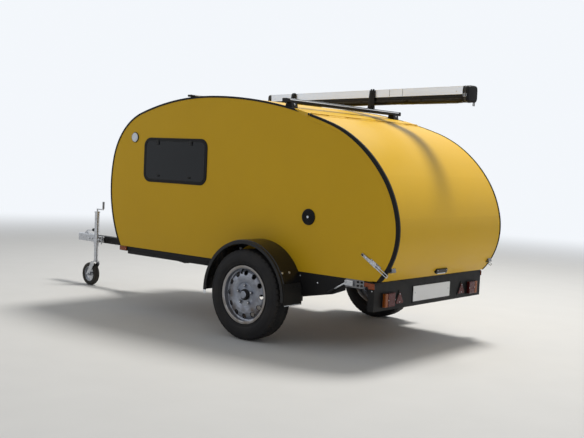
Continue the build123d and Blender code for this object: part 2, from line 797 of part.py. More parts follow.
save("door_hinges_fixed", *fixed)
save("door_hinges_moving", *moving)

# Round marker lights and vents, their outer edges rounded
marker = rod_y(MARKER_X, CROWN_Z - MARKER_DROP, MARKER_R, BODY_HALF, BODY_HALF + MARKER_PROUD)
save("front_markers", both(fillet(marker.edges().sort_by(Axis.Y)[-1], MARKER_EDGE)))
vent_z = BODY_BASE + VENT_RISE
vent = rod_y(VENT_X, vent_z, VENT_R, BODY_HALF, BODY_HALF + VENT_PROUD)
vent = fillet(vent.edges().sort_by(Axis.Y)[-1], VENT_EDGE)
vent += rod_y(VENT_X, vent_z, VENT_BOSS_R, BODY_HALF, BODY_HALF + VENT_BOSS_PROUD)
save("vents", both(vent))

# Toggle latches on the walls: base, tapered lever channel and wire bail
reach = Vector(-LATCH_REACH[0], 0, -LATCH_REACH[1])
latch_base = BODY_BASE + LATCH_RISE
latch_rear = skin(turn_at_z(latch_base, -1))[0] + LATCH_IN
start = Vector(latch_rear, 0, latch_base) - reach
ahead = reach.normalized()
across = Vector(-ahead.Z, 0, ahead.X)


def latch_plate(first, last, first_half, last_half, y0, y1):
    """Plate along the latch: first and last are shares of its reach."""
    corners = []
    for share, half in ((first, first_half), (last, last_half), (last, -last_half), (first, -first_half)):
        corner = start + reach * share + across * half
        corners.append((corner.X, corner.Z))
    return polygon(corners, y0, y1)


latch = latch_plate(BASE_FROM, BASE_TO, BASE_HALF, BASE_HALF, BODY_HALF, BODY_HALF + BASE_THICK)
lever_out = BODY_HALF + LEVER_PROUD
latch += latch_plate(0, LEVER_SHARE, LEVER_TIP, LEVER_ROOT, BODY_HALF, lever_out)
tip_in = LEVER_TIP - LEVER_WALL
root_in = LEVER_ROOT - LEVER_WALL
latch -= latch_plate(*LEVER_HOLLOW, tip_in, root_in, lever_out - LEVER_DEEP, lever_out + PAST)
bail_start = start + reach * LEVER_SHARE - ahead * BAIL_BACK + Vector(0, BODY_HALF + BAIL_OUT - BAIL_DIP, 0)
bail_end = start + reach + ahead * BAIL_PAST + Vector(0, BODY_HALF + BAIL_OUT, 0)
for side in (1, -1):
    latch += bar(bail_start + across * (BAIL_HALF * side), bail_end + across * (BAIL_HALF * side), BAIL_R)
latch += bar(bail_end + across * BAIL_HALF, bail_end - across * BAIL_HALF, BAIL_R)

# Keepers and number plate lamp, folded from the hatch's face
body_envelope = area(0, 0, -BODY_HALF, BODY_HALF)
keeper_turn = turn_at_z(BODY_BASE + KEEPER_RISE, -1)
keeper_shape = (
    (0, -KEEPER_FOOT),
    (0, KEEPER_FOOT),
    (KEEPER_SHEET, KEEPER_FOOT),
    (KEEPER_PROUD, KEEPER_NOSE),
    (KEEPER_PROUD, -KEEPER_NOSE),
    (KEEPER_SHEET, -KEEPER_FOOT),
)
keeper_side = [skin(keeper_turn, -out, along) for out, along in keeper_shape]
keeper_end = hatch_half - KEEPER_IN
keeper = polygon(keeper_side, keeper_end - KEEPER_WIDE, keeper_end) - body_envelope
lamp_turn = turn_at_z(BODY_BASE + LAMP_RISE, -1)
lamp_shape = (
    (-LAMP_SUNK, -LAMP_FOOT),
    (-LAMP_SUNK, LAMP_FOOT),
    (LAMP_LOW, LAMP_FOOT),
    (LAMP_HIGH, -LAMP_BACK),
    (LAMP_HIGH, -LAMP_FOOT),
)
lamp = polygon([skin(lamp_turn, -out, along) for out, along in lamp_shape], -LAMP_HALF, LAMP_HALF)
save("plate_lamp", lamp - body_envelope)

# Chassis of box sections
save("side_rails", both(tube(Axis.X, RAIL_REAR, RAIL_FRONT, rail_in, rail_out, rail_base, BODY_BASE)))
crosses = []
for x in CROSS_XS:
    half = CROSS_WIDE / 2
    crosses.append(tube(Axis.Y, x - half, x + half, -rail_in, rail_in, rail_base, BODY_BASE))
save("cross_members", *crosses)
half_bar = DRAWBAR / 2
save("drawbar", tube(Axis.X, DRAWBAR_REAR, drawbar_front, -half_bar, half_bar, drawbar_base, rail_base))
brace_reach = math.hypot(BRACE_FRONT_X - BRACE_REAR[0], BRACE_REAR[1] - half_bar)
brace_angle = math.degrees(math.atan2(half_bar - BRACE_REAR[1], BRACE_FRONT_X - BRACE_REAR[0]))
brace = tube(Axis.X, 0, brace_reach, -BRACE_WIDE, 0, drawbar_base, rail_base)
brace = Pos(BRACE_REAR[0], BRACE_REAR[1], 0) * Rot(0, 0, brace_angle) * brace
brace -= block(0, BEYOND, -BODY_HALF, half_bar, 0, BODY_BASE)
save("braces", both(brace))

# Axle: a square beam under the rails, trailing arms and stubs
arm_out = BODY_HALF + ARM_BESIDE
arm_in = arm_out - ARM_THICK
beam_high = rail_base - BEAM_BELOW
beam_low = beam_high - BEAM
beam_mid = (beam_low + beam_high) / 2
stub_out = tyre_mid + STUB_PAST
axle = block(BEAM_X - BEAM / 2, BEAM_X + BEAM / 2, -arm_in, arm_in, beam_low, beam_high)
arm = link((BEAM_X, beam_mid, ARM_HEAD_R), (0, WHEEL_R, ARM_EYE_R), arm_in, arm_out)
arm += rod_y(0, WHEEL_R, STUB_R, arm_out, stub_out)
seat_side = ((-SEAT_HALF, rail_base), (SEAT_HALF, rail_base), (BEAM / 2, beam_low), (-BEAM / 2, beam_low))
seat = polygon([(BEAM_X + x, z) for x, z in seat_side], rail_in, rail_in + SEAT_WIDE)
for piece in both(arm + seat).solids():
    axle += piece
save("axle", axle)

# Wheels: pressed rim and dished disc, hub with cap, five nuts, tyre with four grooves
half_rim = RIM_WIDE / 2
flange_in = RIM_FLANGE_R - RIM_LIP
inside_r = RIM_BEAD_R - STEEL
well_slope = RIM_WELL_HALF + RIM_SLOPE
rim_section = (
    (-half_rim, RIM_FLANGE_R),
    (-half_rim, flange_in),
    (STEEL - half_rim, inside_r),
    (-well_slope + STEEL, inside_r),
    (-RIM_WELL_HALF + STEEL, RIM_WELL_R - STEEL),
    (RIM_WELL_HALF - STEEL, RIM_WELL_R - STEEL),
    (well_slope - STEEL, inside_r),
    (half_rim - STEEL, inside_r),
    (half_rim, flange_in),
    (half_rim, RIM_FLANGE_R),
    (half_rim - STEEL, RIM_FLANGE_R),
    (half_rim - BEAD_WALL, RIM_BEAD_R),
    (well_slope, RIM_BEAD_R),
    (RIM_WELL_HALF, RIM_WELL_R),
    (-RIM_WELL_HALF, RIM_WELL_R),
    (-well_slope, RIM_BEAD_R),
    (BEAD_WALL - half_rim, RIM_BEAD_R),
    (STEEL - half_rim, RIM_FLANGE_R),
)
disc_section = [(DISC_Y + y, r) for y, r in DISC_LINE]
disc_section += [(DISC_Y + y - STEEL, r - DISC_TUCK) for y, r in reversed(DISC_LINE)]
eye_r = DISC_LINE[0][1]
cap_foot = DISC_Y + CAP_COLLAR
hub_section = (
    (HUB_IN, STUB_R + PIN_PLAY),
    (HUB_IN, HUB_NECK_R),
    (DISC_Y - HUB_FLARE, HUB_R),
    (DISC_Y - STEEL, HUB_R),
    (DISC_Y - STEEL, eye_r),
    (DISC_Y, eye_r),
    (cap_foot, CAP_R + CAP_COLLAR),
    (cap_foot, CAP_R),
    (CAP_OUT - CAP_EDGE, CAP_R),
    (CAP_OUT, CAP_R - CAP_EDGE),
    (CAP_OUT, 0),
    (cap_foot, 0),
    (cap_foot, STUB_R + PIN_PLAY),
)
rim = turned(rim_section) + turned(disc_section)
for i in range(DISC_HOLES):
    a = 2 * math.pi * i / DISC_HOLES
    hole_x = DISC_HOLE_RING * math.cos(a)
    hole_z = DISC_HOLE_RING * math.sin(a)
    rim -= rod_y(hole_x, hole_z, DISC_HOLE_R, 0, half_rim)
rim += turned(hub_section)
for i in range(STUDS):
    a = 2 * math.pi * (i + STUD_START) / STUDS
    seat_plane = Plane(
        origin=(STUD_CIRCLE / 2 * math.cos(a), DISC_Y, STUD_CIRCLE / 2 * math.sin(a)),
        x_dir=(1, 0, 0),
        z_dir=(0, 1, 0),
    )
    rim += extrude(seat_plane * RegularPolygon(NUT_R, 6), amount=NUT_TALL)

half_tyre = TYRE_WIDE / 2
bead_y = half_rim - BEAD_WALL
bead_r = RIM_BEAD_R + BEAD_PLAY
flange_top = RIM_FLANGE_R + TYRE_OVER_FLANGE
corner_r = (SIDEWALL_R + TREAD_SHOULDER_R) / 2 + SHOULDER_BULGE
corner_y = half_tyre - (SIDEWALL_IN + SHOULDER_IN) / 2 + SHOULDER_BULGE
tread_half = half_tyre - SHOULDER_IN
tyre_edges = [line((bead_r, -bead_y, 0), (bead_r, bead_y, 0))]
for m in (1, -1):
    foot = (flange_top, m * bead_y, 0)
    wall = (SIDEWALL_R, m * (half_tyre - SIDEWALL_IN), 0)
    belly = (SIDEWALL_MID_R, m * half_tyre, 0)
    corner = (corner_r, m * corner_y, 0)
    tyre_edges.append(line((bead_r, m * bead_y, 0), foot))
    tyre_edges.append(Edge.make_three_point_arc(foot, belly, wall))
    tyre_edges.append(Edge.make_three_point_arc(wall, corner, (TREAD_SHOULDER_R, m * tread_half, 0)))
shoulders = ((TREAD_SHOULDER_R, tread_half, 0), (WHEEL_R, 0, 0), (TREAD_SHOULDER_R, -tread_half, 0))
tyre_edges.append(Edge.make_three_point_arc(*shoulders))
tyre = revolve(Face(Wire(tyre_edges)), Axis.Y)
for y in GROOVES:
    low = WHEEL_R - GROOVE_DEEP
    high = WHEEL_R + PAST
    mouth = GROOVE_WIDE / 2
    foot = mouth - GROOVE_TAPER
    tyre -= turned(((y - foot, low), (y + foot, low), (y + mouth, high), (y - mouth, high)))
hub_place = Pos(0, tyre_mid, WHEEL_R)
for name, piece in (("rim", rim), ("tyre", tyre)):
    left = hub_place * piece
    save(name + "_left", left)
    save(name + "_right", mirror(left, about=Plane.XZ))

# Mudguards turned about the axle: wall flange, sheet, stepped edge and rolled bead
guard_in = guard_r - GUARD_SHEET
step_out = guard_out - GUARD_SHELF
shelf_r = guard_r - GUARD_STEP
guard_section = (
    (BODY_HALF, guard_r - GUARD_FLANGE),
    (BODY_HALF, guard_r),
    (step_out, guard_r),
    (step_out + GUARD_STEP, shelf_r),
    (guard_out, shelf_r),
    (guard_out, guard_r - GUARD_LIP),
    (guard_out - GUARD_SHEET, guard_r - GUARD_LIP),
    (guard_out - GUARD_SHEET, shelf_r - GUARD_SHEET),
    (step_out + GUARD_STEP - GUARD_MITRE, shelf_r - GUARD_SHEET),
    (step_out - GUARD_MITRE, guard_in),
    (BODY_HALF + GUARD_SHEET, guard_in),
    (BODY_HALF + GUARD_SHEET, guard_r - GUARD_FLANGE),
)
guard_drop = math.degrees(math.asin(GUARD_DROP / guard_r))
guard_sweep = 180 + 2 * guard_drop
guard = turned(guard_section, guard_sweep, -guard_drop)
bead_circle = Pos(guard_r - GUARD_LIP, guard_out - GUARD_BEAD_R, 0) * Circle(GUARD_BEAD_R)
bead = revolve(bead_circle, Axis((0, 0, 0), (0, -1, 0)), revolution_arc=guard_sweep)
guard += Rot(0, guard_drop, 0) * bead
over_axle = Pos(0, 0, WHEEL_R)
save("mudguards", both(over_axle * guard))
flap_in = BODY_HALF + FLAP_IN
flap_r = guard_r + FLAP_THICK
flap_rise = math.degrees(math.asin(FLAP_RISE / guard_r))
flap_section = ((flap_in, guard_r), (guard_out, guard_r), (guard_out, flap_r), (flap_in, flap_r))
flap = over_axle * turned(flap_section, flap_rise, 180 - flap_rise)
flap += block(-flap_r, -guard_r, flap_in, guard_out, FLAP_BASE, WHEEL_R)
save("mud_flaps", both(flap))

# Tail panel: a folded tray, open towards the chassis, with lamp trays and the plate's holder
panel_half = BODY_HALF + PANEL_PAST
panel_rear = RAIL_REAR - PANEL_DEEP
panel_top = BODY_BASE - PANEL_BELOW
panel_base = panel_top - PANEL_TALL
panel = block(panel_rear, RAIL_REAR, -panel_half, panel_half, panel_base, panel_top)
panel = fillet(panel.edges().filter_by(Axis.Z).group_by(Axis.X)[0], PANEL_CORNER)
panel_in = panel_half - PANEL_SHEET
panel -= block(
    panel_rear + PANEL_SHEET,
    RAIL_REAR + PAST,
    -panel_in,
    panel_in,
    panel_base + PANEL_SHEET,
    panel_top - PANEL_SHEET,
)
plate_half = PLATE[0] / 2
plate_low = panel_base + PLATE_UP - PLATE[1] / 2
plate_high = plate_low + PLATE[1]
holder_half = plate_half + HOLDER_MORE
holder_low = plate_low - HOLDER_CHIN
holder_high = plate_high + HOLDER_BROW
holder_rear = panel_rear - HOLDER_THICK
holder = rear_plate(
    -holder_half, holder_half, holder_low, holder_high, holder_rear, panel_rear, PLATE_CORNER
)
plate_rear = holder_rear - PLATE_THICK
plate = rear_plate(-plate_half, plate_half, plate_low, plate_high, plate_rear, holder_rear, PLATE_CORNER)
save("number_plate", plate)

lamp_out = panel_half - LAMP_FROM_END
lamp_in = lamp_out - LAMP_SIZE[0]
lamp_low = panel_base + LAMP_UP
lamp_high = lamp_low + LAMP_SIZE[1]
tray_rear = panel_rear - LAMP_TRAY
lamp_tray = rear_plate(lamp_in, lamp_out, lamp_low, lamp_high, tray_rear, panel_rear, LAMP_RIM)
indicator_in = lamp_out - LAMP_RIM - INDICATOR_WIDE
lens_low = lamp_low + LAMP_RIM
lens_high = lamp_high - LAMP_RIM
lens_rear = panel_rear - LAMP_PROUD
lenses = []
for y0, y1 in ((lamp_in + LAMP_RIM, indicator_in - LENS_SPLIT), (indicator_in, lamp_out - LAMP_RIM)):
    lens = rear_plate(y0, y1, lens_low, lens_high, lens_rear, tray_rear, LENS_CORNER)
    lenses.append(fillet(lens.faces().sort_by(Axis.X)[0].edges(), LENS_EDGE))


def triangle(inset, x0, x1):
    """Upright triangle on the tail with round corners, moved in on all sides, from x1 back to x0."""
    radius = REFLECTOR_WIDE / math.sqrt(3) - 2 * inset
    middle_z = panel_base + REFLECTOR_UP + REFLECTOR_WIDE / math.sqrt(12)
    middle_y = panel_half - REFLECTOR_FROM_END - REFLECTOR_WIDE / 2
    sheet = Plane(origin=(x1, middle_y, middle_z), x_dir=(0, 0, 1), z_dir=(-1, 0, 0))
    outline = fillet(RegularPolygon(radius, 3).vertices(), REFLECTOR_CORNER)
    return extrude(sheet * outline, amount=x1 - x0)


reflector_rear = panel_rear - REFLECTOR_THICK
reflector_frame = triangle(0, reflector_rear, panel_rear)
reflector = triangle(REFLECTOR_FRAME, panel_rear - REFLECTOR_PROUD, reflector_rear)
save("tail_panel", panel, holder, both(lamp_tray), both(reflector_frame))
save("tail_lamps", both(lenses[0]), both(reflector))
save("tail_indicators", both(lenses[1]))
markers = []
marker_out = rail_out + SIDE_MARKER_THICK
for light in SIDE_MARKERS:
    top = BODY_BASE - light.drop
    lens = pane((light.rear, light.front, top - light.tall, top), SIDE_MARKER_CORNER, rail_out, marker_out)
    markers.append(both(fillet(lens.faces().sort_by(Axis.Y)[-1].edges(), LENS_EDGE)))
save("side_markers", *markers)

# Coupling head: pressed cover over the drawbar's end, ball socket and release lever
head_top = rail_base + HEAD_SHEET
head_base = rail_base - HEAD_DROP
ball_z = rail_base - BALL_DROP
socket_r = BALL_R + HEAD_PLAY
cover_half = half_bar + HEAD_SHEET
cover = block(head_rear, BALL_X, -cover_half, cover_half, head_base, head_top)
cover += rod_z(BALL_X, 0, HEAD_R, head_base, head_top)
cover = fillet(cover.faces().sort_by(Axis.Z)[-1].edges(), HEAD_EDGE)
cover -= block(head_rear - PAST, drawbar_front + PAST, -half_bar, half_bar, head_base - PAST, rail_base)
hollow_end = BALL_X - BALL_R - SOCKET_WALL
cover -= block(drawbar_front, hollow_end, -half_bar, half_bar, head_base - PAST, rail_base - HEAD_EDGE)
cover -= Pos(BALL_X, 0, ball_z) * Sphere(socket_r)
cover -= rod_z(BALL_X, 0, socket_r, head_base - PAST, ball_z)
lever_root = BALL_X - HEAD_R
lever_side = [(lever_root - back, head_top + up) for back, up in LEVER_SIDE]
lever = polygon(lever_side, -LEVER_WIDE / 2, LEVER_WIDE / 2)
lever = fillet(lever.edges().filter_by(Axis.Y), LEVER_EDGE)
save("coupling_head", cover + lever)

# Jockey wheel: clamp on the drawbar, with a tee screw
jockey_y = half_bar + JOCKEY_BESIDE
clamp_top = rail_base - CLAMP_BELOW
clamp_base = clamp_top - CLAMP_TALL
clamp_mid = (clamp_base + clamp_top) / 2
clamp_long, clamp_thick = CLAMP_PLATE
clamp_foot = around(jockey_x, clamp_mid, clamp_long, CLAMP_TALL)
clamp = pane(clamp_foot, CLAMP_WALL, half_bar, half_bar + clamp_thick)
arm_half = clamp_long / 4
clamp += block(jockey_x - arm_half, jockey_x + arm_half, half_bar, jockey_y, clamp_base, clamp_top)
clamp += rod_z(jockey_x, jockey_y, TUBE_R + CLAMP_WALL, clamp_base, clamp_top)
clamp_rear = jockey_x - TUBE_R - CLAMP_WALL
screw_end = clamp_rear - SCREW_LONG
clamp += rod_x(jockey_y, clamp_mid, BOSS_R, clamp_rear - BOSS_LONG, jockey_x - TUBE_R)
clamp += rod_x(jockey_y, clamp_mid, SCREW_R, screw_end, jockey_x - TUBE_R)
clamp += rod_z(screw_end, jockey_y, SCREW_R, clamp_mid - TEE_HALF, clamp_mid + TEE_HALF)
clamp -= rod_z(jockey_x, jockey_y, TUBE_R, clamp_base - PAST, clamp_top + PAST)
save("jockey_clamp", clamp)

# Outer tube with its collar and crank, inner tube inside it
outer_tube = rod_z(jockey_x, jockey_y, TUBE_R, TUBE_BASE, TUBE_TOP)
outer_tube += rod_z(jockey_x, jockey_y, COLLAR_R, TUBE_TOP - COLLAR_TALL, TUBE_TOP)
outer_tube -= rod_z(jockey_x, jockey_y, INNER_R + INNER_PLAY, TUBE_BASE - PAST, TUBE_TOP - TUBE_CAP)
crank_z = TUBE_TOP + CRANK_RISE
crank_end = jockey_x - CRANK_LONG
outer_tube += rod_z(jockey_x, jockey_y, KING_R, TUBE_TOP, crank_z)
outer_tube += rod_x(jockey_y, crank_z, CRANK_R, crank_end, jockey_x)
outer_tube += Pos(jockey_x, jockey_y, crank_z) * Sphere(CRANK_KNOB_R)
outer_tube += Pos(crank_end, jockey_y, crank_z) * Sphere(CRANK_R)
hand = rod_z(crank_end, jockey_y, GRIP_R, crank_z + CRANK_R, crank_z + CRANK_R + GRIP_TALL)
hand = fillet(hand.edges(), GRIP_EDGE)
outer_tube += hand + rod_z(crank_end, jockey_y, CRANK_R, crank_z, crank_z + GRIP_R)
save("jockey_tube", outer_tube)
inner = rod_z(jockey_x, jockey_y, INNER_R, FORK_TOP + SWIVEL_PLAY, INNER_TOP)
inner -= rod_z(jockey_x, jockey_y, INNER_R - INNER_WALL, FORK_TOP + INNER_PLUG, INNER_TOP + PAST)
inner -= rod_z(jockey_x, jockey_y, KING_R + PIN_PLAY, FORK_TOP, FORK_TOP + INNER_PLUG)
save("jockey_inner", inner)

# Fork of two arms under a plate, wheel disc and tyre
wheel_x = jockey_x + JOCKEY_TRAIL
fork_half = JOCKEY_TYRE_WIDE / 2 + FORK_BESIDE
fork_out = fork_half + FORK_SHEET
plate_top = FORK_TOP - FORK_GAP
plate_base = plate_top - FORK_PLATE
fork = rod_z(jockey_x, jockey_y, KING_R, plate_top, FORK_TOP + KING_LONG)
fork += rod_z(jockey_x, jockey_y, KING_HEAD_R, plate_base, FORK_TOP)
shoulder_x = jockey_x + FORK_SHOULDER_R / 2
shoulder = (shoulder_x, plate_top - FORK_SHOULDER_R, FORK_SHOULDER_R)
fork += block(
    shoulder_x - FORK_SHOULDER_R / 2,
    shoulder_x + FORK_SHOULDER_R / 2,
    jockey_y - fork_out,
    jockey_y + fork_out,
    plate_base,
    plate_top,
)
for side in (1, -1):
    cheek_in = jockey_y + side * fork_half
    fork += link(shoulder, (wheel_x, JOCKEY_TYRE_R, FORK_EYE_R), cheek_in, cheek_in + side * FORK_SHEET)
axle_half = fork_out + FORK_SHEET
fork += rod_y(wheel_x, JOCKEY_TYRE_R, JOCKEY_AXLE_R, jockey_y - axle_half, jockey_y + axle_half)
save("jockey_fork", fork)
half_wheel = JOCKEY_TYRE_WIDE / 2
half_web = JOCKEY_WEB / 2
half_seat = half_wheel - JOCKEY_WEB
seat_r = JOCKEY_RIM_R - JOCKEY_WEB
wheel_bore = JOCKEY_AXLE_R + PIN_PLAY
disc_section = (
    (-half_wheel, wheel_bore),
    (-half_wheel, JOCKEY_HUB_R),
    (-half_web, JOCKEY_HUB_R + JOCKEY_WEB),
    (-half_web, seat_r - JOCKEY_WEB),
    (-half_seat, seat_r),
    (-half_seat, JOCKEY_RIM_R),
    (half_seat, JOCKEY_RIM_R),
    (half_seat, seat_r),
    (half_web, seat_r - JOCKEY_WEB),
    (half_web, JOCKEY_HUB_R + JOCKEY_WEB),
    (half_wheel, JOCKEY_HUB_R),
    (half_wheel, wheel_bore),
)
wheel_place = Pos(wheel_x, jockey_y, JOCKEY_TYRE_R)
save("jockey_wheel", wheel_place * turned(disc_section))
solid_tyre = Rot(90, 0, 0) * Cylinder(JOCKEY_TYRE_R, JOCKEY_TYRE_WIDE)
solid_tyre = fillet(solid_tyre.edges(), JOCKEY_TYRE_EDGE)
solid_tyre -= Rot(90, 0, 0) * Cylinder(JOCKEY_RIM_R + BEAD_PLAY, JOCKEY_TYRE_WIDE * 2)
save("jockey_tyre", wheel_place * solid_tyre)

# Rear steadies: clamp plates with a saddle and a hand lever, pivots and folded legs
steady_y = rail_in - STEADY_BESIDE
steady_z = BODY_BASE - STEADY_DROP
plate_out = rail_out + CLAMP_SHEET
clamp_rect = (STEADY_X - CLAMP_HALF, STEADY_X + CLAMP_HALF, BODY_BASE - CLAMP_DROP, BODY_BASE)
bracket = pane(clamp_rect, CLAMP_CORNER, rail_out, plate_out)
hole_wide, hole_tall = CLAMP_HOLE
for back in CLAMP_HOLES_BACK:
    for drop in CLAMP_HOLES_DROP:
        hole = around(STEADY_X - back, BODY_BASE - drop, hole_wide, hole_tall)
        bracket -= pane(hole, CLAMP_CORNER, rail_out - PAST, plate_out + PAST)
saddle_long, saddle_tall, saddle_proud = SADDLE
saddle_mid_z = BODY_BASE - CLAMP_DROP / 2
saddle_x = STEADY_X + CLAMP_HALF - saddle_long / 2
saddle_rect = around(saddle_x, saddle_mid_z, saddle_long, saddle_tall)
saddle = pane(saddle_rect, CLAMP_CORNER, rail_out, rail_out + saddle_proud)
bracket += fillet(saddle.faces().sort_by(Axis.Y)[-1].edges(), SADDLE_EDGE)
hand_root = Vector(STEADY_X + CLAMP_HALF - HAND_FROM_END, rail_out + saddle_proud / 2, saddle_mid_z)
hand_reach = Vector(*HAND_REACH)
bracket += bar(hand_root, hand_root + hand_reach, HAND_R)
bracket += bar(hand_root + hand_reach * HAND_GRIP_START, hand_root + hand_reach, HAND_GRIP_R)
pivot_in = steady_y - STEADY_R - STEADY_PIN_PAST
pivot = rod_y(STEADY_X, steady_z, STEADY_PIN_R, pivot_in, rail_in)
save("steady_brackets", both(bracket), both(pivot))
leg_end = STEADY_X + STEADY_REACH - FOOT_THICK
leg = rod_x(steady_y, steady_z, STEADY_R, STEADY_X - STEADY_R, leg_end)
leg -= rod_x(steady_y, steady_z, STEADY_R - STEADY_WALL, STEADY_X + STEADY_PLUG, leg_end + PAST)
leg += rod_x(steady_y, steady_z, FOOT_R, leg_end, leg_end + FOOT_THICK)
leg -= rod_y(STEADY_X, steady_z, STEADY_PIN_R + PIN_PLAY, steady_y - FOOT_R, steady_y + FOOT_R)
save("steady_left", leg)
save("steady_right", mirror(leg, about=Plane.XZ))

# Roof bars: hollow section on feet cut to the roof, and holders for the awning
awning_top = roof_z(FRONT_BAR.x) + FRONT_BAR.lift + FRONT_BAR.tall + AWNING_PLAY + AWNING_TALL
awning_y = AWNING_FROM_SIDE - BODY_HALF
awning_yaw = math.radians(AWNING_YAW)
awning_place = Pos(AWNING_REAR_X, awning_y, awning_top) * Rot(0, 0, -AWNING_YAW)
carriers = []
for place in (REAR_BAR, FRONT_BAR):
    half = BODY_HALF + place.past
    base = roof_z(place.x) + place.lift
    top = base + place.tall
    carrier = block(place.x - BAR_WIDE / 2, place.x + BAR_WIDE / 2, -half, half, base, top)
    carrier = fillet(carrier.edges().filter_by(Axis.Y), BAR_EDGE)
    bore_half = BAR_WIDE / 2 - BAR_SHEET
    bore_low = place.x - bore_half
    bore_high = place.x + bore_half
    carrier -= block(bore_low, bore_high, -half - PAST, half + PAST, base + BAR_SHEET, top - BAR_SHEET)
    foot_mid = BODY_HALF - BAR_FOOT_IN
    foot_low = base - place.lift - BAR_FOOT_DEEP
    foot_side = (
        (place.x - BAR_FOOT_WIDE, foot_low),
        (place.x + BAR_FOOT_WIDE, foot_low),
        (place.x + BAR_WIDE / 2, base + BAR_EDGE),
        (place.x - BAR_WIDE / 2, base + BAR_EDGE),
    )
    foot = polygon(foot_side, foot_mid - BAR_FOOT_HALF, foot_mid + BAR_FOOT_HALF) - body_envelope
    for piece in both(foot).solids():
        carrier += piece
    seat = top - awning_top
    reach = (place.x - AWNING_REAR_X) / math.cos(awning_yaw)
    outline = [
        (reach - HOLD_FOOT_HALF, seat),
        (reach + HOLD_FOOT_HALF, seat),
        (reach + HOLD_TOP_HALF, HOLD_EAR_TALL),
        (reach + HOLD_TOP_HALF - HOLD_EAR, HOLD_EAR_TALL),
        (reach + HOLD_TOP_HALF - HOLD_EAR, -HOLD_EAR_TALL),
        (reach - HOLD_TOP_HALF + HOLD_EAR, -HOLD_EAR_TALL),
        (reach - HOLD_TOP_HALF + HOLD_EAR, HOLD_EAR_TALL),
        (reach - HOLD_TOP_HALF, HOLD_EAR_TALL),
    ]
    holder = polygon(outline, 0, HOLD_DEEP)
    pocket = [
        (reach - HOLD_FOOT_HALF + HOLD_WALL, seat + HOLD_WALL),
        (reach + HOLD_FOOT_HALF - HOLD_WALL, seat + HOLD_WALL),
        (reach + HOLD_TOP_HALF - HOLD_WALL, -HOLD_POCKET),
        (reach - HOLD_TOP_HALF + HOLD_WALL, -HOLD_POCKET),
    ]
    holder = awning_place * (holder - polygon(pocket, HOLD_WALL, HOLD_DEEP + PAST))
    foot_y = awning_y - (place.x - AWNING_REAR_X) * math.tan(awning_yaw) + HOLD_FOOT_BACK
    foot_end = foot_y + HOLD_FOOT_LONG
    foot_x = place.x - HOLD_FOOT_HALF
    holder += block(foot_x, foot_x + HOLD_FOOT_HALF * 2, foot_y, foot_end, top, top + HOLD_FOOT_THICK)
    carriers.append(carrier + holder)
save("roof_bars", *carriers)


def awning_run(y0, y1, z0, z1, corner, x0, x1):
    """Length of awning section with round corners, in the awning's own frame."""
    sheet = Plane(origin=(x0, (y0 + y1) / 2, (z0 + z1) / 2), x_dir=(0, 1, 0), z_dir=(1, 0, 0))
    return extrude(sheet * RectangleRounded(y1 - y0, z1 - z0, corner), amount=x1 - x0)


# Awning: folded back plate, cloth bag below it and cloth caps over both ends
plate_from = AWNING_CAP
plate_to = AWNING_LENGTH - AWNING_CAP
back = block(plate_from, plate_to, -AWNING_DEEP, 0, -AWNING_PLATE_TALL, 0)
back = fillet(back.edges().filter_by(Axis.X).group_by(Axis.Z)[-1], AWNING_SHEET)
cut_from = plate_from - PAST
cut_to = plate_to + PAST
cut_base = -AWNING_PLATE_TALL - PAST
far_out = -AWNING_DEEP - PAST
far_in = AWNING_SHEET - AWNING_DEEP
back -= block(cut_from, cut_to, far_in, -AWNING_SHEET, cut_base, -AWNING_SHEET)
back -= block(cut_from, cut_to, far_out, far_in + AWNING_LIP_PLAY, cut_base, -AWNING_BACK_LIP)
save("awning_plate", awning_place * back)
bag = awning_run(
    -AWNING_DEEP, -AWNING_SHEET, -AWNING_TALL, -AWNING_SHEET, AWNING_BAG_CORNER, plate_from, plate_to
)
bag -= block(plate_from, plate_to, far_out, far_in + AWNING_LIP_PLAY, -AWNING_BACK_LIP, 0)
for x0, x1 in ((0, AWNING_CAP), (plate_to, AWNING_LENGTH)):
    bag += awning_run(-AWNING_DEEP, 0, -AWNING_TALL, 0, AWNING_CAP_CORNER, x0, x1)
save("awning_bag", awning_place * bag)

# Gas struts: cylinder on a stud in the wall, rod towards a stud on the hatch
stud_x, stud_z = skin(STUD_TURN, STUD_INSET)
root_x = STRUT_ROOT_X
root_z = CROWN_Z - STRUT_ROOT_DROP
strut_length = math.hypot(stud_x - root_x, stud_z - root_z)
ux = (stud_x - root_x) / strut_length
uz = (stud_z - root_z) / strut_length
strut_y = inner_half - STRUT_BESIDE


def on_strut(distance):
    """Point of the left strut's middle line at a distance from its root."""
    return root_x + ux * distance, strut_y, root_z + uz * distance


cylinder_end = strut_length * STRUT_COVER
cylinder = bar(on_strut(CYLINDER_START), on_strut(cylinder_end), CYLINDER_R)
cylinder += rod_y(root_x, root_z, EYE_R, strut_y - EYE_HALF, strut_y + EYE_HALF)
cylinder -= rod_y(root_x, root_z, STRUT_STUD_R + PIN_PLAY, strut_y - EYE_R, strut_y + EYE_R)
cylinder -= bar(on_strut(BORE_START), on_strut(cylinder_end + PAST), ROD_R + ROD_PLAY)
rod = bar(on_strut(ROD_START), on_strut(strut_length - EYE_HALF), ROD_R)
rod += rod_y(stud_x, stud_z, EYE_R, strut_y - EYE_HALF, strut_y + EYE_HALF)
rod -= rod_y(stud_x, stud_z, STRUT_STUD_R + PIN_PLAY, strut_y - EYE_R, strut_y + EYE_R)
for name, piece in (("strut_cylinder", cylinder), ("strut_rod", rod)):
    save(name + "_left", piece)
    save(name + "_right", mirror(piece, about=Plane.XZ))

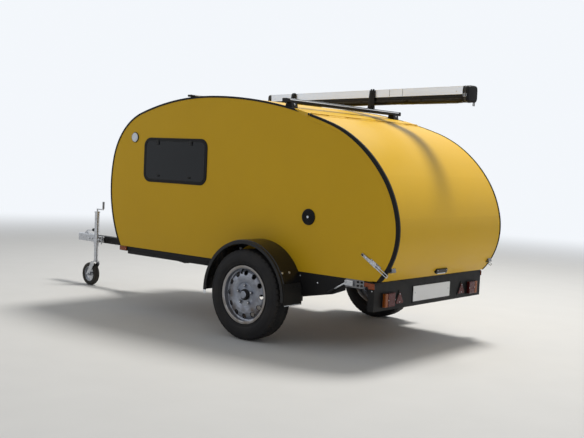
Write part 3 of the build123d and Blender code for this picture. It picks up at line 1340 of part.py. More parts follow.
# Studs of the struts: a pin in each wall, a horn with a pin on each side of the hatch
eye_side = strut_y - EYE_HALF
root_stud = rod_y(root_x, root_z, STRUT_STUD_R, eye_side - STUD_PAST, inner_half)
save("side_fittings", both(latch), both(root_stud))
horn_out = strut_y - HORN_BESIDE
horn_shape = [
    skin(STUD_TURN, HATCH_THICK, -HORN_HALF),
    skin(STUD_TURN, HATCH_THICK, HORN_HALF),
    skin(STUD_TURN, STUD_INSET + HORN_PAST, HORN_TIP),
    skin(STUD_TURN, STUD_INSET + HORN_PAST, -HORN_TIP),
]
horn = polygon(horn_shape, horn_out - HORN_SHEET, horn_out)
horn -= band(0, HATCH_THICK, -BODY_HALF, BODY_HALF, stop=HINGE_TURN)
horn += rod_y(stud_x, stud_z, STRUT_STUD_R, horn_out, eye_side - STUD_CLEAR)
save("hatch_fittings", both(keeper), both(horn))
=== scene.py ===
import json
import math
import bmesh
import bpy
from mathutils import Matrix, Vector, noise
from mathutils.bvhtree import BVHTree


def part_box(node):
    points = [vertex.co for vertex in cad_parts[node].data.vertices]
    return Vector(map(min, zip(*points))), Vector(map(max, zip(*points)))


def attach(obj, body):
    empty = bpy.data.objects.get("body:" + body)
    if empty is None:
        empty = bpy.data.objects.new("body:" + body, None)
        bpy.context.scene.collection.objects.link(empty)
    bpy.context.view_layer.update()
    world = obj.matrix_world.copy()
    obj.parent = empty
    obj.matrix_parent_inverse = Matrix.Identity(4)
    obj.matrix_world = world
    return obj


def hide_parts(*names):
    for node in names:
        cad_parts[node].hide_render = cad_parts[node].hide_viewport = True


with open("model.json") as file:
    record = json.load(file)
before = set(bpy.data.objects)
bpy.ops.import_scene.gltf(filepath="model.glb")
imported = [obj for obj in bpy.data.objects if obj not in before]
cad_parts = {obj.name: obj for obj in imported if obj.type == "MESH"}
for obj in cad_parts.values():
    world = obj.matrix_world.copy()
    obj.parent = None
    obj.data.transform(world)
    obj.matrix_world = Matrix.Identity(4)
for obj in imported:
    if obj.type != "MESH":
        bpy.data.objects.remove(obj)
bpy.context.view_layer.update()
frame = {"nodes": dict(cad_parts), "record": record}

# Driving places, in metres

rim_low, rim_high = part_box("rim_left")
AXLE_X = (rim_low.x + rim_high.x) / 2
HUB_Z = (rim_low.z + rim_high.z) / 2
SIDES = (("left", 1), ("right", -1))
AWNING_YAW = math.radians(11.5)

# Shading

ROAD_DUST = (0.19, 0.155, 0.11)
DUST_FULL_Z = 0.1
# Waves of ribs and weaves, in radians a metre
FLAP_RIBS = 520.0
TYRE_RINGS = 1250.0
CLOTH_WEAVE = 2600.0
WEBBING_WEAVE = 2800.0
# Distance out at which a finish changes: on the wheel's nuts, on its cap, on the steadies' brackets
NUT_FACE_Y = rim_high.y - 0.0205
CAP_FACE_Y = rim_high.y - 0.04
# Inward of the steadies' bracket plate their zinc is painted near black, as shade under the body
BRACKET_PLATE_Y = 0.7336


class Shade:
    """A socket of a node. Arithmetic on it adds Math nodes."""

    def __init__(self, nodes, socket):
        self.nodes = nodes
        self.socket = socket

    def math(self, operation, *values):
        inputs = dict(enumerate((self,) + values))
        return self.nodes.node("ShaderNodeMath", {"operation": operation}, inputs)

    def __add__(self, other):
        return self.math("ADD", other)

    def __radd__(self, other):
        return self.math("ADD", other)

    def __sub__(self, other):
        return self.math("SUBTRACT", other)

    def __rsub__(self, other):
        return self.nodes.node("ShaderNodeMath", {"operation": "SUBTRACT"}, {0: other, 1: self})

    def __mul__(self, other):
        return self.math("MULTIPLY", other)

    def __rmul__(self, other):
        return self.math("MULTIPLY", other)

    def __abs__(self):
        return self.math("ABSOLUTE")

    def most(self, other):
        return self.math("MAXIMUM", other)

    def wave(self):
        return self.math("SINE")

    def root(self):
        return self.math("SQRT")

    def over(self, limit):
        return self.math("GREATER_THAN", limit)

    def ease(self, low, high):
        """0 below low, 1 above high, smooth between them; low may be the larger."""
        settings = {"interpolation_type": "SMOOTHSTEP"}
        start, end = (1.0, 0.0) if low > high else (0.0, 1.0)
        inputs = {0: self, 1: min(low, high), 2: max(low, high), 3: start, 4: end}
        return self.nodes.node("ShaderNodeMapRange", settings, inputs)


class Nodes:
    """The nodes of a material or of the world."""

    def __init__(self, tree):
        self.tree = tree

    def node(self, kind, settings, inputs, output=0):
        """A node of a kind: its settings first, then the values or links of its sockets."""
        made = self.tree.nodes.new(kind)
        for key, value in settings.items():
            setattr(made, key, value)
        for key, value in inputs.items():
            if isinstance(value, Shade):
                self.tree.links.new(value.socket, made.inputs[key])
            else:
                made.inputs[key].default_value = value
        return Shade(self, made.outputs[output])

    def seen(self):
        """1 for what the camera sees straight, mirrored or through glass."""
        rays = self.node("ShaderNodeLightPath", {}, {}, "Is Camera Ray")
        for ray in ("Is Glossy Ray", "Is Transmission Ray"):
            rays = rays.most(self.node("ShaderNodeLightPath", {}, {}, ray))
        return rays

    def show(self, output, shade):
        """Sets the shader that an output node shows."""
        self.tree.links.new(shade.socket, self.tree.nodes[output].inputs["Surface"])


class Finish(Nodes):
    """A procedural material: one Principled shader and the nodes that vary it."""

    def __init__(self, name, slot, colour, **constants):
        self.material = bpy.data.materials.new(name)
        self.material.use_nodes = True
        super().__init__(self.material.node_tree)
        self.shader = self.tree.nodes["Principled BSDF"]
        self.slot = slot
        self.colour = (*colour, 1.0)
        self.shader.inputs["Base Color"].default_value = self.colour
        for key, value in constants.items():
            self.shader.inputs[key.replace("_", " ").title().replace("Ior", "IOR")].default_value = value
        self.place = self.node("ShaderNodeTexCoord", {}, {}, "Object")

    def feed(self, socket, shade):
        """Links a shade to a socket of the shader."""
        self.tree.links.new(shade.socket, self.shader.inputs[socket])

    def axis(self, name):
        """One coordinate of the place, in metres."""
        return self.node("ShaderNodeSeparateXYZ", {}, {0: self.place}, "XYZ".index(name))

    def round_axle(self):
        """Distance from the line of the axle, in metres."""
        x = self.axis("X") - AXLE_X
        z = self.axis("Z") - HUB_Z
        return (x * x + z * z).root()

    def stretched(self, x, y, z):
        """The place with each axis scaled."""
        return self.node("ShaderNodeVectorMath", {"operation": "MULTIPLY"}, {0: self.place, 1: (x, y, z)})

    def cloud(self, scale, detail=2.0, place=None, rough=0.5):
        """Noise from 0 to 1."""
        inputs = {"Vector": place or self.place, "Scale": scale, "Detail": detail, "Roughness": rough}
        return self.node("ShaderNodeTexNoise", {}, inputs)

    def cells(self, scale, output="Distance"):
        """Distance from the nearest cell's point, or another output of the cells."""
        return self.node("ShaderNodeTexVoronoi", {}, {"Vector": self.place, "Scale": scale}, output)

    def weave(self, waves):
        """Crossed ribs on an upright face, from 0 to 1."""
        return (self.axis("X") * waves).wave() * (self.axis("Z") * waves).wave() * 0.5 + 0.5

    def mix(self, share, first, second):
        """Colour between two, by a share."""
        first = first if isinstance(first, Shade) else (*first[:3], 1.0)
        second = second if isinstance(second, Shade) else (*second[:3], 1.0)
        return self.node("ShaderNodeMix", {"data_type": "RGBA"}, {0: share, 6: first, 7: second}, 2)

    def relief(self, height, depth, strength):
        """Feeds a bump of a height from 0 to 1, depth in metres."""
        inputs = {"Strength": strength, "Distance": depth, "Height": height}
        self.feed("Normal", self.node("ShaderNodeBump", {}, inputs))

    def dusty(self, colour, amount, top):
        """Feeds the base colour with road dust on it, which thins out upwards to a height."""
        low = self.axis("Z").ease(top, DUST_FULL_Z)
        patch = self.cloud(7.0, 4.0).ease(0.35, 0.75)
        fine = self.cloud(160.0, 3.0)
        share = (low * 0.75 + 0.25) * (patch * 0.7 + 0.3) * (fine * 0.6 + 0.7) * amount
        self.feed("Base Color", self.mix(share, colour, ROAD_DUST))


def body_yellow():
    """Satin gloss yellow on sandwich panels, faintly uneven, dull near the road."""
    paint = Finish("satin_yellow_panel", "yellow_panel", (0.66, 0.395, 0.010), specular_ior_level=0.22)
    tone = paint.mix(paint.cloud(1.7, 3.0), (0.69, 0.415, 0.012), (0.625, 0.370, 0.009))
    paint.dusty(tone, amount=0.05, top=0.80)
    paint.feed("Roughness", paint.cloud(4.0, 4.0) * 0.10 + 0.34)
    paint.relief(paint.cloud(420.0, 2.0), depth=0.0004, strength=0.25)
    return paint


def black_edging():
    """Satin black edging, dusty low down."""
    edging = Finish("satin_black_edging", "black_trim", (0.008, 0.008, 0.009), specular_ior_level=0.14)
    edging.dusty(edging.colour, amount=0.05, top=0.9)
    edging.feed("Roughness", edging.cloud(30.0, 3.0) * 0.18 + 0.34)
    edging.relief(edging.cloud(900.0, 2.0), depth=0.0003, strength=0.4)
    return edging


def hinge_yellow():
    """Hinge painted with the body, its paint worn in spots."""
    paint = Finish("yellow_painted_hinge", "yellow_hinge", (0.66, 0.395, 0.012), specular_ior_level=0.4)
    worn = paint.cloud(55.0, 4.0).ease(0.66, 0.74)
    paint.feed("Base Color", paint.mix(worn, paint.colour, (0.42, 0.36, 0.22)))
    paint.feed("Roughness", paint.cloud(25.0) * 0.15 + 0.28)
    return paint


def birch():
    """Lacquered birch plywood: long grain on the faces, thin layers on the edges."""
    ply = Finish("lacquered_birch_ply", "birch_ply", (0.55, 0.38, 0.21), coat_weight=0.3, coat_roughness=0.2)
    grain = ply.cloud(9.0, 6.0, ply.stretched(1.0, 9.0, 9.0), 0.62)
    pores = ply.cloud(60.0, 3.0, ply.stretched(1.0, 14.0, 14.0))
    tone = ply.mix(grain.ease(0.3, 0.72), (0.60, 0.42, 0.24), (0.43, 0.28, 0.145))
    ply.feed("Base Color", ply.mix(pores.ease(0.62, 0.75) * 0.35, tone, (0.25, 0.15, 0.07)))
    ply.feed("Roughness", grain * 0.2 + 0.35)
    ply.relief(pores, depth=0.0003, strength=0.3)
    return ply


def smoked_glass():
    """Dark tinted acrylic, faintly smeared."""
    tint = (0.008, 0.011, 0.015)
    glass = Finish("smoked_acrylic", "dark_glass", tint, transmission_weight=0.35, specular_ior_level=0.10)
    smear = glass.cloud(6.0, 5.0, glass.stretched(1.0, 1.0, 3.0))
    glass.feed("Roughness", smear.ease(0.45, 0.8) * 0.12 + 0.03)
    return glass


def zinc_plate(name, bright, grey, shade_inward_of=0.0):
    """Zinc with its faint spangle and dull patches; the last argument is a distance out, inward of which the
    zinc is painted near black as shade under the body.
    """
    zinc = Finish(name, "zinc", bright, metallic=1.0)
    spangle = zinc.cells(90.0, output="Color")
    shade = zinc.node("ShaderNodeRGBToBW", {}, {0: spangle})
    dull = zinc.cloud(22.0, 4.0).ease(0.4, 0.75)
    tone = zinc.mix(shade * 0.5 + dull * 0.3, bright, grey)
    # Painted shade: with a distance given, what lies nearer the middle turns near black
    if shade_inward_of:
        plate = 1.0 - abs(zinc.axis("Y")).over(shade_inward_of)
        tone = zinc.mix(plate * 0.8, tone, (0.09, 0.09, 0.095))
    zinc.feed("Base Color", tone)
    zinc.feed("Roughness", dull * 0.22 + 0.27)
    zinc.relief(zinc.cloud(500.0, 2.0), depth=0.0002, strength=0.3)
    return zinc


def chassis_black():
    """Black painted steel with road dust and a few stone chips."""
    paint = Finish("black_painted_steel", "black_steel", (0.008, 0.008, 0.009), specular_ior_level=0.15)
    chips = paint.cells(70.0).ease(0.05, 0.02) * paint.cloud(12.0).ease(0.55, 0.7)
    tone = paint.mix(chips, paint.colour, (0.10, 0.09, 0.085))
    paint.dusty(tone, amount=0.05, top=0.75)
    paint.feed("Roughness", paint.cloud(18.0, 4.0) * 0.25 + 0.36)
    paint.relief(paint.cloud(300.0, 3.0), depth=0.0004, strength=0.35)
    return paint


def strut_rod():
    """Polished rod of a gas strut."""
    rod = Finish("polished_rod", "rod_chrome", (0.70, 0.70, 0.71), metallic=1.0)
    rod.feed("Roughness", rod.cloud(200.0, 2.0, rod.stretched(1.0, 6.0, 1.0)) * 0.08 + 0.08)
    return rod


def guard_plastic():
    """Moulded black plastic with a fine grain, dusty on top."""
    black = (0.008, 0.0085, 0.010)
    plastic = Finish("grained_black_plastic", "black_plastic", black, specular_ior_level=0.26)
    plastic.dusty(plastic.colour, amount=0.03, top=1.1)
    plastic.feed("Roughness", plastic.cloud(14.0, 4.0) * 0.16 + 0.16)
    plastic.relief(plastic.cells(1100.0), depth=0.0004, strength=0.5)
    return plastic


def flap_rubber():
    """Ribbed rubber of the mud flaps, dusty."""
    rubber = Finish("mud_flap_rubber", "black_rubber", (0.011, 0.011, 0.011), specular_ior_level=0.15)
    rubber.dusty(rubber.colour, amount=0.10, top=0.55)
    ribs = (rubber.axis("Y") * FLAP_RIBS).wave()
    rubber.feed("Roughness", rubber.cloud(40.0, 3.0) * 0.15 + 0.68)
    rubber.relief(ribs * 0.5 + 0.5, depth=0.0006, strength=0.6)
    return rubber


def lens(name, slot, colour, rib_axis, pitch, deep=0.45):
    """Moulded lens with optic ribs behind a smooth face; their valleys are darkened as painted shade, and
    deep is how dark they are.
    """
    glassy = Finish(name, slot, colour, coat_weight=0.12, coat_roughness=0.08, specular_ior_level=0.25)
    rib = (glassy.axis(rib_axis) * (2 * math.pi / pitch)).wave() * 0.5 + 0.5
    # Painted shade: darker in the valleys between the ribs
    valley_shade = tuple(c * deep for c in colour)
    glassy.feed("Base Color", glassy.mix(rib, valley_shade, colour))
    glassy.feed("Roughness", glassy.cloud(30.0, 3.0) * 0.12 + 0.20)
    glassy.relief(rib, depth=0.0008, strength=0.5)
    return glassy


def plate_white():
    """Blank white plate: reflective sheet with a fine bead pattern."""
    plate = Finish("reflective_white_sheet", "plate_white", (0.80, 0.81, 0.81), coat_weight=0.3)
    bead = plate.cells(900.0)
    plate.dusty(plate.colour, amount=0.10, top=0.8)
    plate.feed("Roughness", bead * 0.2 + 0.3)
    plate.relief(bead, depth=0.0002, strength=0.3)
    return plate


def wheel_silver():
    """Silver paint on the pressed wheel: bluish patches of painted sky reflection, road dirt in the dish,
    dark nuts, a black ring round the cap.
    """
    paint = Finish("silver_painted_wheel", "silver_rim", (0.32, 0.33, 0.36), coat_weight=0.1)
    radius = paint.round_axle()
    out = abs(paint.axis("Y"))
    dirt_and_reflection = paint.cloud(16.0, 5.0).ease(0.36, 0.7)
    dish = radius.ease(0.10, 0.14) * radius.ease(0.20, 0.155)
    flange = radius.ease(0.196, 0.204)
    # Painted reflection: bluish patches of reflected sky, laid by the same noise as the dirt
    tone = paint.mix(dirt_and_reflection * 0.35 + 0.25, paint.colour, (0.22, 0.27, 0.37))
    tone = paint.mix(flange * (dirt_and_reflection * 0.3 + 0.5), tone, (0.34, 0.30, 0.25))
    low = paint.axis("Z").ease(HUB_Z + 0.05, HUB_Z - 0.12)
    tone = paint.mix(dirt_and_reflection * (dish * 0.45 + low * 0.40 + 0.14), tone, (0.120, 0.085, 0.055))
    nuts = radius.over(0.050) * radius.ease(0.084, 0.083) * out.over(NUT_FACE_Y)
    tone = paint.mix(nuts * 0.8, tone, (0.07, 0.062, 0.058))
    ring = radius.ease(0.0288, 0.0292) * radius.ease(0.0428, 0.0424) * out.over(CAP_FACE_Y)
    tone = paint.mix(ring, tone, (0.010, 0.010, 0.011))
    paint.feed("Base Color", tone)
    paint.feed("Metallic", (1.0 - ring) * (1.0 - dirt_and_reflection * 0.5) * 0.75)
    paint.feed("Roughness", dirt_and_reflection * 0.25 + 0.34)
    paint.relief(paint.cloud(260.0, 3.0), depth=0.0003, strength=0.3)
    return paint


def road_rubber():
    """Tyre rubber: browned by dust on the wall, polished rings and fine moulding ribs."""
    rubber = Finish("road_tyre_rubber", "tyre", (0.013, 0.013, 0.015), specular_ior_level=0.2)
    radius = rubber.round_axle()
    dust = rubber.cloud(11.0, 5.0).ease(0.3, 0.8) * 0.30 + rubber.cloud(240.0, 2.0) * 0.10
    tread = radius.ease(0.322, 0.340)
    tone = rubber.mix(dust * (tread * 0.5 + 0.4), rubber.colour, (0.080, 0.068, 0.052))
    rubber.feed("Base Color", tone)
    rubber.feed("Roughness", rubber.cloud(35.0, 3.0) * 0.15 + 0.60)
    rings = (radius * TYRE_RINGS).wave() * radius.ease(0.262, 0.268) * radius.ease(0.296, 0.290)
    rubber.relief(rings * 0.5 + rubber.cloud(420.0, 2.0) * 0.4, depth=0.0005, strength=0.5)
    return rubber


def jockey_rubber():
    """Solid rubber of the jockey wheel, dusty."""
    rubber = Finish("solid_rubber", "jockey_rubber", (0.015, 0.015, 0.015), specular_ior_level=0.25)
    rubber.dusty(rubber.colour, amount=0.20, top=0.4)
    rubber.feed("Roughness", rubber.cloud(60.0, 3.0) * 0.2 + 0.6)
    return rubber


def awning_aluminium():
    """Brushed and anodised extrusion, scratched along its length."""
    metal = Finish("anodised_aluminium", "awning_aluminium", (0.74, 0.76, 0.79), metallic=0.9)
    inputs = {"Vector": metal.place, "Angle": AWNING_YAW}
    turned = metal.node("ShaderNodeVectorRotate", {"rotation_type": "Z_AXIS"}, inputs)
    streak = metal.node("ShaderNodeVectorMath", {"operation": "MULTIPLY"}, {0: turned, 1: (0.02, 1.0, 1.0)})
    line = metal.cloud(700.0, 3.0, streak)
    metal.feed("Base Color", metal.mix(line, (0.79, 0.81, 0.84), (0.66, 0.68, 0.71)))
    metal.feed("Roughness", line * 0.2 + metal.cloud(5.0, 3.0) * 0.12 + 0.22)
    metal.relief(line, depth=0.0001, strength=0.4)
    return metal


def handle_rubber():
    """Soft black rubber of grips, seals, plugs and piping, greyed a little by dust."""
    rubber = Finish("soft_black_rubber", "black_rubber", (0.011, 0.011, 0.012), specular_ior_level=0.22)
    grime = rubber.cloud(48.0, 4.0).ease(0.45, 0.8)
    rubber.feed("Base Color", rubber.mix(grime * 0.35, rubber.colour, (0.060, 0.055, 0.048)))
    rubber.feed("Roughness", grime * 0.2 + 0.50)
    rubber.relief(rubber.cloud(700.0, 2.0), depth=0.0002, strength=0.35)
    return rubber


def strap_webbing():
    """Black polyester webbing, woven in fine ribs, their tops painted lighter as a highlight."""
    strap = Finish("black_webbing", "awning_pvc", (0.018, 0.018, 0.019), sheen_weight=0.2)
    ribs = strap.weave(WEBBING_WEAVE)
    # Painted highlight: lighter on the tops of the ribs
    strap.feed("Base Color", strap.mix(ribs * 0.6, strap.colour, (0.034, 0.034, 0.035)))
    strap.feed("Roughness", ribs * 0.15 + 0.62)
    strap.relief(ribs, depth=0.0004, strength=0.6)
    return strap


def awning_cloth():
    """Black coated cloth with its woven backing showing through."""
    cloth = Finish("coated_awning_cloth", "awning_pvc", (0.010, 0.0095, 0.0095), specular_ior_level=0.18)
    weave = cloth.weave(CLOTH_WEAVE)
    scuff = cloth.cloud(12.0, 5.0).ease(0.5, 0.8)
    cloth.feed("Base Color", cloth.mix(scuff * 0.5, cloth.colour, (0.020, 0.018, 0.016)))
    cloth.feed("Roughness", scuff * 0.15 + 0.50)
    cloth.relief(weave * 0.4 + cloth.cloud(90.0, 3.0) * 0.6, depth=0.0005, strength=0.4)
    return cloth


yellow = body_yellow()
edging = black_edging()
hinge_paint = hinge_yellow()
ply = birch()
glass = smoked_glass()
zinc = zinc_plate("zinc_plated_steel", (0.56, 0.57, 0.59), (0.34, 0.35, 0.37))
bracket_zinc = zinc_plate("bracket_zinc", (0.56, 0.57, 0.59), (0.32, 0.33, 0.35), BRACKET_PLATE_Y)
keeper_zinc = zinc_plate("dulled_zinc", (0.22, 0.22, 0.225), (0.10, 0.10, 0.105))
steel = chassis_black()
chrome = strut_rod()
plastic = guard_plastic()
flap = flap_rubber()
clear_lens = lens("clear_marker_lens", "white_lens", (0.86, 0.91, 0.97), "Z", pitch=0.006, deep=0.88)
amber_lens = lens("amber_lens", "side_lens", (0.36, 0.070, 0.010), "X", pitch=0.005)
turn_lens = lens("turn_signal_lens", "side_lens", (0.34, 0.085, 0.010), "Z", pitch=0.006)
red_lens = lens("red_lens", "red_lens", (0.115, 0.006, 0.006), "Y", pitch=0.008, deep=0.35)
white_plate = plate_white()
silver = wheel_silver()
tyre_rubber = road_rubber()
solid_rubber = jockey_rubber()
aluminium = awning_aluminium()
cloth = awning_cloth()
grip_rubber = handle_rubber()
webbing = strap_webbing()

BY_SLOT = {
    "yellow_panel": yellow,
    "black_trim": edging,
    "birch_ply": ply,
    "yellow_hinge": hinge_paint,
    "dark_glass": glass,
    "zinc": zinc,
    "black_steel": steel,
    "rod_chrome": chrome,
    "black_plastic": plastic,
    "black_rubber": flap,
    "white_lens": clear_lens,
    "side_lens": amber_lens,
    "red_lens": red_lens,
    "plate_white": white_plate,
    "silver_rim": silver,
    "tyre": tyre_rubber,
    "jockey_rubber": solid_rubber,
    "awning_aluminium": aluminium,
    "awning_pvc": cloth,
}
ONLY = {
    "tail_indicators": turn_lens,
    "hatch_fittings": keeper_zinc,
    "steady_brackets": bracket_zinc,
}
for part in frame["record"]["subparts"]:
    node = frame["nodes"][part["node"]]
    finish = ONLY.get(part["node"], BY_SLOT[part["material_slot"]])
    node.data.materials.clear()
    node.data.materials.append(finish.material)

# Mesh tools

ON_AXIS = 1e-6
SUNK = 0.0005
EDGE_RINGS = 2
WELD_R = 0.0035
WELD_PITCH = 0.003
GRIP_GROOVE_EDGE = 0.0021
GRIP_GROOVE_FLOOR = 0.0012
# Edges sharper than these angles stay sharp, in degrees
CREASE = 35.0
CAD_CREASE = 24.0
TYRE_CREASE = 28.0
PRISM_CREASE = 20.0
CLOTH_CREASE = 60.0
surfaces = {}


def at(x, y, z):
    """Point forward, left and up from the floor below the axle's middle, in metres."""
    return Vector((AXLE_X + x, y, z))


def facing(point, direction, spin=0.0):
    """Place at a point whose local Z looks along a direction, its local Y up where it can."""
    turn = Vector(direction).to_track_quat("Z", "Y").to_matrix().to_4x4()
    return Matrix.Translation(Vector(point)) @ turn @ Matrix.Rotation(spin, 4, "Z")


def beside(side, x, out, z, spin=0.0):
    """Place at a distance out on one side that looks out."""
    return facing(at(x, side * out, z), (0, side, 0), spin)


def both_sides(x, out, z):
    """The same place on each side."""
    return [beside(side, x, out, z) for _, side in SIDES]


def rearward(x, y, z, spin=0.0):
    """Place that looks back."""
    return facing(at(x, y, z), (-1, 0, 0), spin)


def touch(node, start, direction):
    """Place where a ray meets a CAD node; its local Z looks out of the surface."""
    if node not in surfaces:
        mesh = frame["nodes"][node].data
        faces = [face.vertices for face in mesh.polygons]
        surfaces[node] = BVHTree.FromPolygons([vertex.co for vertex in mesh.vertices], faces)
    direction = Vector(direction).normalized()
    hit, normal, _, _ = surfaces[node].ray_cast(start, direction)
    if hit is None:
        raise ValueError(f"nothing of {node} is met from {start}")
    return facing(hit, normal if normal.dot(direction) < 0 else -normal)


def turns(count):
    """Angles of equal steps round a circle."""
    return [2 * math.pi * k / count for k in range(count)]


def skin(bm, sections, looped=False):
    """Closed skin over closed cross sections; looped joins the last to the first."""
    rings = [[bm.verts.new(point) for point in section] for section in sections]
    count = len(rings[0])
    follow = rings[1:] + rings[:1] if looped else rings[1:]
    for low, high in zip(rings, follow):
        for i in range(count):
            j = (i + 1) % count
            bm.faces.new((low[i], low[j], high[j], high[i]))
    if not looped:
        bm.faces.new(list(reversed(rings[0])))
        bm.faces.new(rings[-1])


def turned(bm, place, section, steps=24, looped=False):
    """Form turned about the local Z of a place, from a section of (radius, height)."""
    rings = []
    for radius, height in section:
        if radius < ON_AXIS:
            rings.append([bm.verts.new(place @ Vector((0, 0, height)))])
            continue
        ring = []
        for a in turns(steps):
            ring.append(bm.verts.new(place @ Vector((radius * math.cos(a), radius * math.sin(a), height))))
        rings.append(ring)
    for low, high in zip(rings, rings[1:] + rings[:1] if looped else rings[1:]):
        for i in range(steps):
            j = (i + 1) % steps
            if len(low) == 1:
                bm.faces.new((low[0], high[j], high[i]))
            elif len(high) == 1:
                bm.faces.new((low[i], low[j], high[0]))
            else:
                bm.faces.new((low[i], low[j], high[j], high[i]))


def round_ring(bm, place, middle, radius, steps=40, sides=8):
    """Ring of round wire about the local Z."""
    section = [(middle + radius * math.cos(a), radius * math.sin(a)) for a in turns(sides)]
    turned(bm, place, section, steps=steps, looped=True)


def wire(bm, points, radius, sides=10, looped=False):
    """Round wire through points; radius may be one for each point."""
    points = [Vector(point) for point in points]
    radii = radius if isinstance(radius, list) else [radius] * len(points)
    last = len(points) - 1
    sections = []
    side = None
    for i, point in enumerate(points):
        behind = points[i - 1] if i or looped else point
        beyond = points[(i + 1) % len(points)] if i < last or looped else point
        ahead = (beyond - behind).normalized()
        if side is None:
            side = ahead.orthogonal().normalized()
        side = (side - ahead * side.dot(ahead)).normalized()
        over = ahead.cross(side)
        sections.append([point + (side * math.cos(a) + over * math.sin(a)) * radii[i] for a in turns(sides)])
    skin(bm, sections, looped=looped)


def weld(bm, start, end):
    """Rippled bead of a weld between two points."""
    start = Vector(start)
    reach = Vector(end) - start
    count = max(4, round(reach.length / WELD_PITCH))
    points = [start + reach * (k / count) for k in range(count + 1)]
    wire(bm, points, radius=[WELD_R * (0.9 + 0.14 * (k % 2)) for k in range(count + 1)], sides=8)


def slab(bm, place, outline, depth, edge=0.0):
    """Plate of an outline in local XY, from local Z 0 up to depth, its upper edge rounded."""
    levels = [(0.0, 0.0), (depth - edge, 0.0)]
    for k in range(1, EDGE_RINGS + 1 if edge else 0):
        a = math.pi / 2 * k / EDGE_RINGS
        levels.append((depth - edge + edge * math.sin(a), edge * (1 - math.cos(a))))
    wide = max(abs(x) for x, _ in outline)
    tall = max(abs(y) for _, y in outline)
    sections = []
    for height, inset in levels:
        scale_x = 1 - inset / wide
        scale_y = 1 - inset / tall
        sections.append([place @ Vector((x * scale_x, y * scale_y, height)) for x, y in outline])
    skin(bm, sections)


def rounded(wide, tall, corner, steps=4):
    """Outline of a rectangle with round corners about its middle."""
    points = []
    for cx, cy, start in ((1, 1, 0), (-1, 1, 90), (-1, -1, 180), (1, -1, 270)):
        for k in range(steps + 1):
            a = math.radians(start + 90 * k / steps)
            x = cx * (wide / 2 - corner) + corner * math.cos(a)
            y = cy * (tall / 2 - corner) + corner * math.sin(a)
            points.append((x, y))
    return points


def tablet(bm, place, wide, tall, depth, corner=0.003, edge=0.001):
    """Rectangular plate with round corners and a soft upper edge."""
    slab(bm, place, rounded(wide, tall, corner), depth=depth, edge=edge)


def rim_bead(bm, place, wide, tall, corner, radius):
    """Round bead that follows a rectangle with round corners."""
    line = [place @ Vector((x, y, 0)) for x, y in rounded(wide, tall, corner, 8)]
    wire(bm, line, radius=radius, sides=8, looped=True)


def fluted(bm, place, wide, tall, pitch, deep):
    """Plate whose upper face is a row of prisms along local X."""
    count = round(tall / pitch)
    step = tall / count
    side = [(tall / 2, 0.0), (-tall / 2, 0.0)]
    for k in range(count):
        low = -tall / 2 + k * step
        side += [(low, deep * 0.4), (low + step * 0.5, deep), (low + step * 0.92, deep * 0.4)]
    side.append((tall / 2, deep * 0.4))
    skin(bm, [[place @ Vector((x, y, z)) for y, z in side] for x in (-wide / 2, wide / 2)])


def hex_bolt(bm, place, across=0.013, height=0.006, washer=0.011):
    """Bolt head on its washer."""
    under = ((0, 0), (washer, 0), (washer, 0.0011), (washer * 0.95, 0.0014), (0, 0.0014))
    turned(bm, place, under, steps=20)
    half = across / 2 / math.cos(math.pi / 6)
    head = ((0, 0.0012), (half, 0.0012), (half, height - 0.0012), (half * 0.86, height), (0, height))
    turned(bm, place, head, steps=6)


def dome_rivet(bm, place, radius=0.004, height=0.0022):
    """Rivet's round head, or a dome-headed screw's."""
    section = [(radius * math.cos(a), height * math.sin(a)) for a in (0, 0.4, 0.8, 1.2)]
    turned(bm, place, [(0, -SUNK), (radius * 1.02, -SUNK)] + section + [(0, height)], steps=14)


def cross_screw(bm, place, radius=0.0045, height=0.0022):
    """Pan head screw, its cross shown by two thin bars."""
    shoulder = [(radius, height * 0.5), (radius * 0.8, height * 0.9)]
    turned(bm, place, [(0, -SUNK), (radius, -SUNK)] + shoulder + [(0, height)], steps=16)
    for spin in (0, math.pi / 2):
        slot = place @ Matrix.Translation((0, 0, height * 0.96)) @ Matrix.Rotation(spin, 4, "Z")
        slab(bm, slot, rounded(radius * 1.15, radius * 0.26, radius * 0.08, 2), depth=height * 0.12)


def sleeve(bm, start, end, radius, ribs=9, deep=0.0012):
    """Hand grip with grooves round it and rounded ends."""
    reach = Vector(end) - Vector(start)
    section = [(0, 0), (radius * 0.78, 0), (radius, radius * 0.25)]
    for k in range(ribs):
        z = reach.length * (k + 1) / (ribs + 1)
        section += [(radius, z - GRIP_GROOVE_EDGE), (radius - deep, z - GRIP_GROOVE_FLOOR)]
        section += [(radius - deep, z + GRIP_GROOVE_FLOOR), (radius, z + GRIP_GROOVE_EDGE)]
    section += [(radius, reach.length - radius * 0.3), (radius * 0.75, reach.length), (0, reach.length)]
    turned(bm, facing(start, reach), section, steps=22)


def finished(name, bm, finish, body, crease=CREASE):
    """Object of a mesh with its finish, riding on a body."""
    bmesh.ops.recalc_face_normals(bm, faces=bm.faces)
    mesh = bpy.data.meshes.new(name)
    bm.to_mesh(mesh)
    bm.free()
    mesh.materials.append(finish.material)
    mesh.shade_smooth()
    mesh.set_sharp_from_angle(angle=math.radians(crease))
    piece = bpy.data.objects.new(name, mesh)
    bpy.context.scene.collection.objects.link(piece)
    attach(piece, body)
    return piece


def fixings(name, shape, finish, body, places, crease=CREASE, **sizes):
    """One piece of the same small form at several places."""
    bm = bmesh.new()
    for place in places:
        shape(bm, place, **sizes)
    return finished(name, bm, finish, body, crease)


for node in frame["nodes"].values():
    node.data.shade_smooth()
    node.data.set_sharp_from_angle(angle=math.radians(CAD_CREASE))

# Tyres: four grooves, cuts across the shoulders and ribs, ringed walls

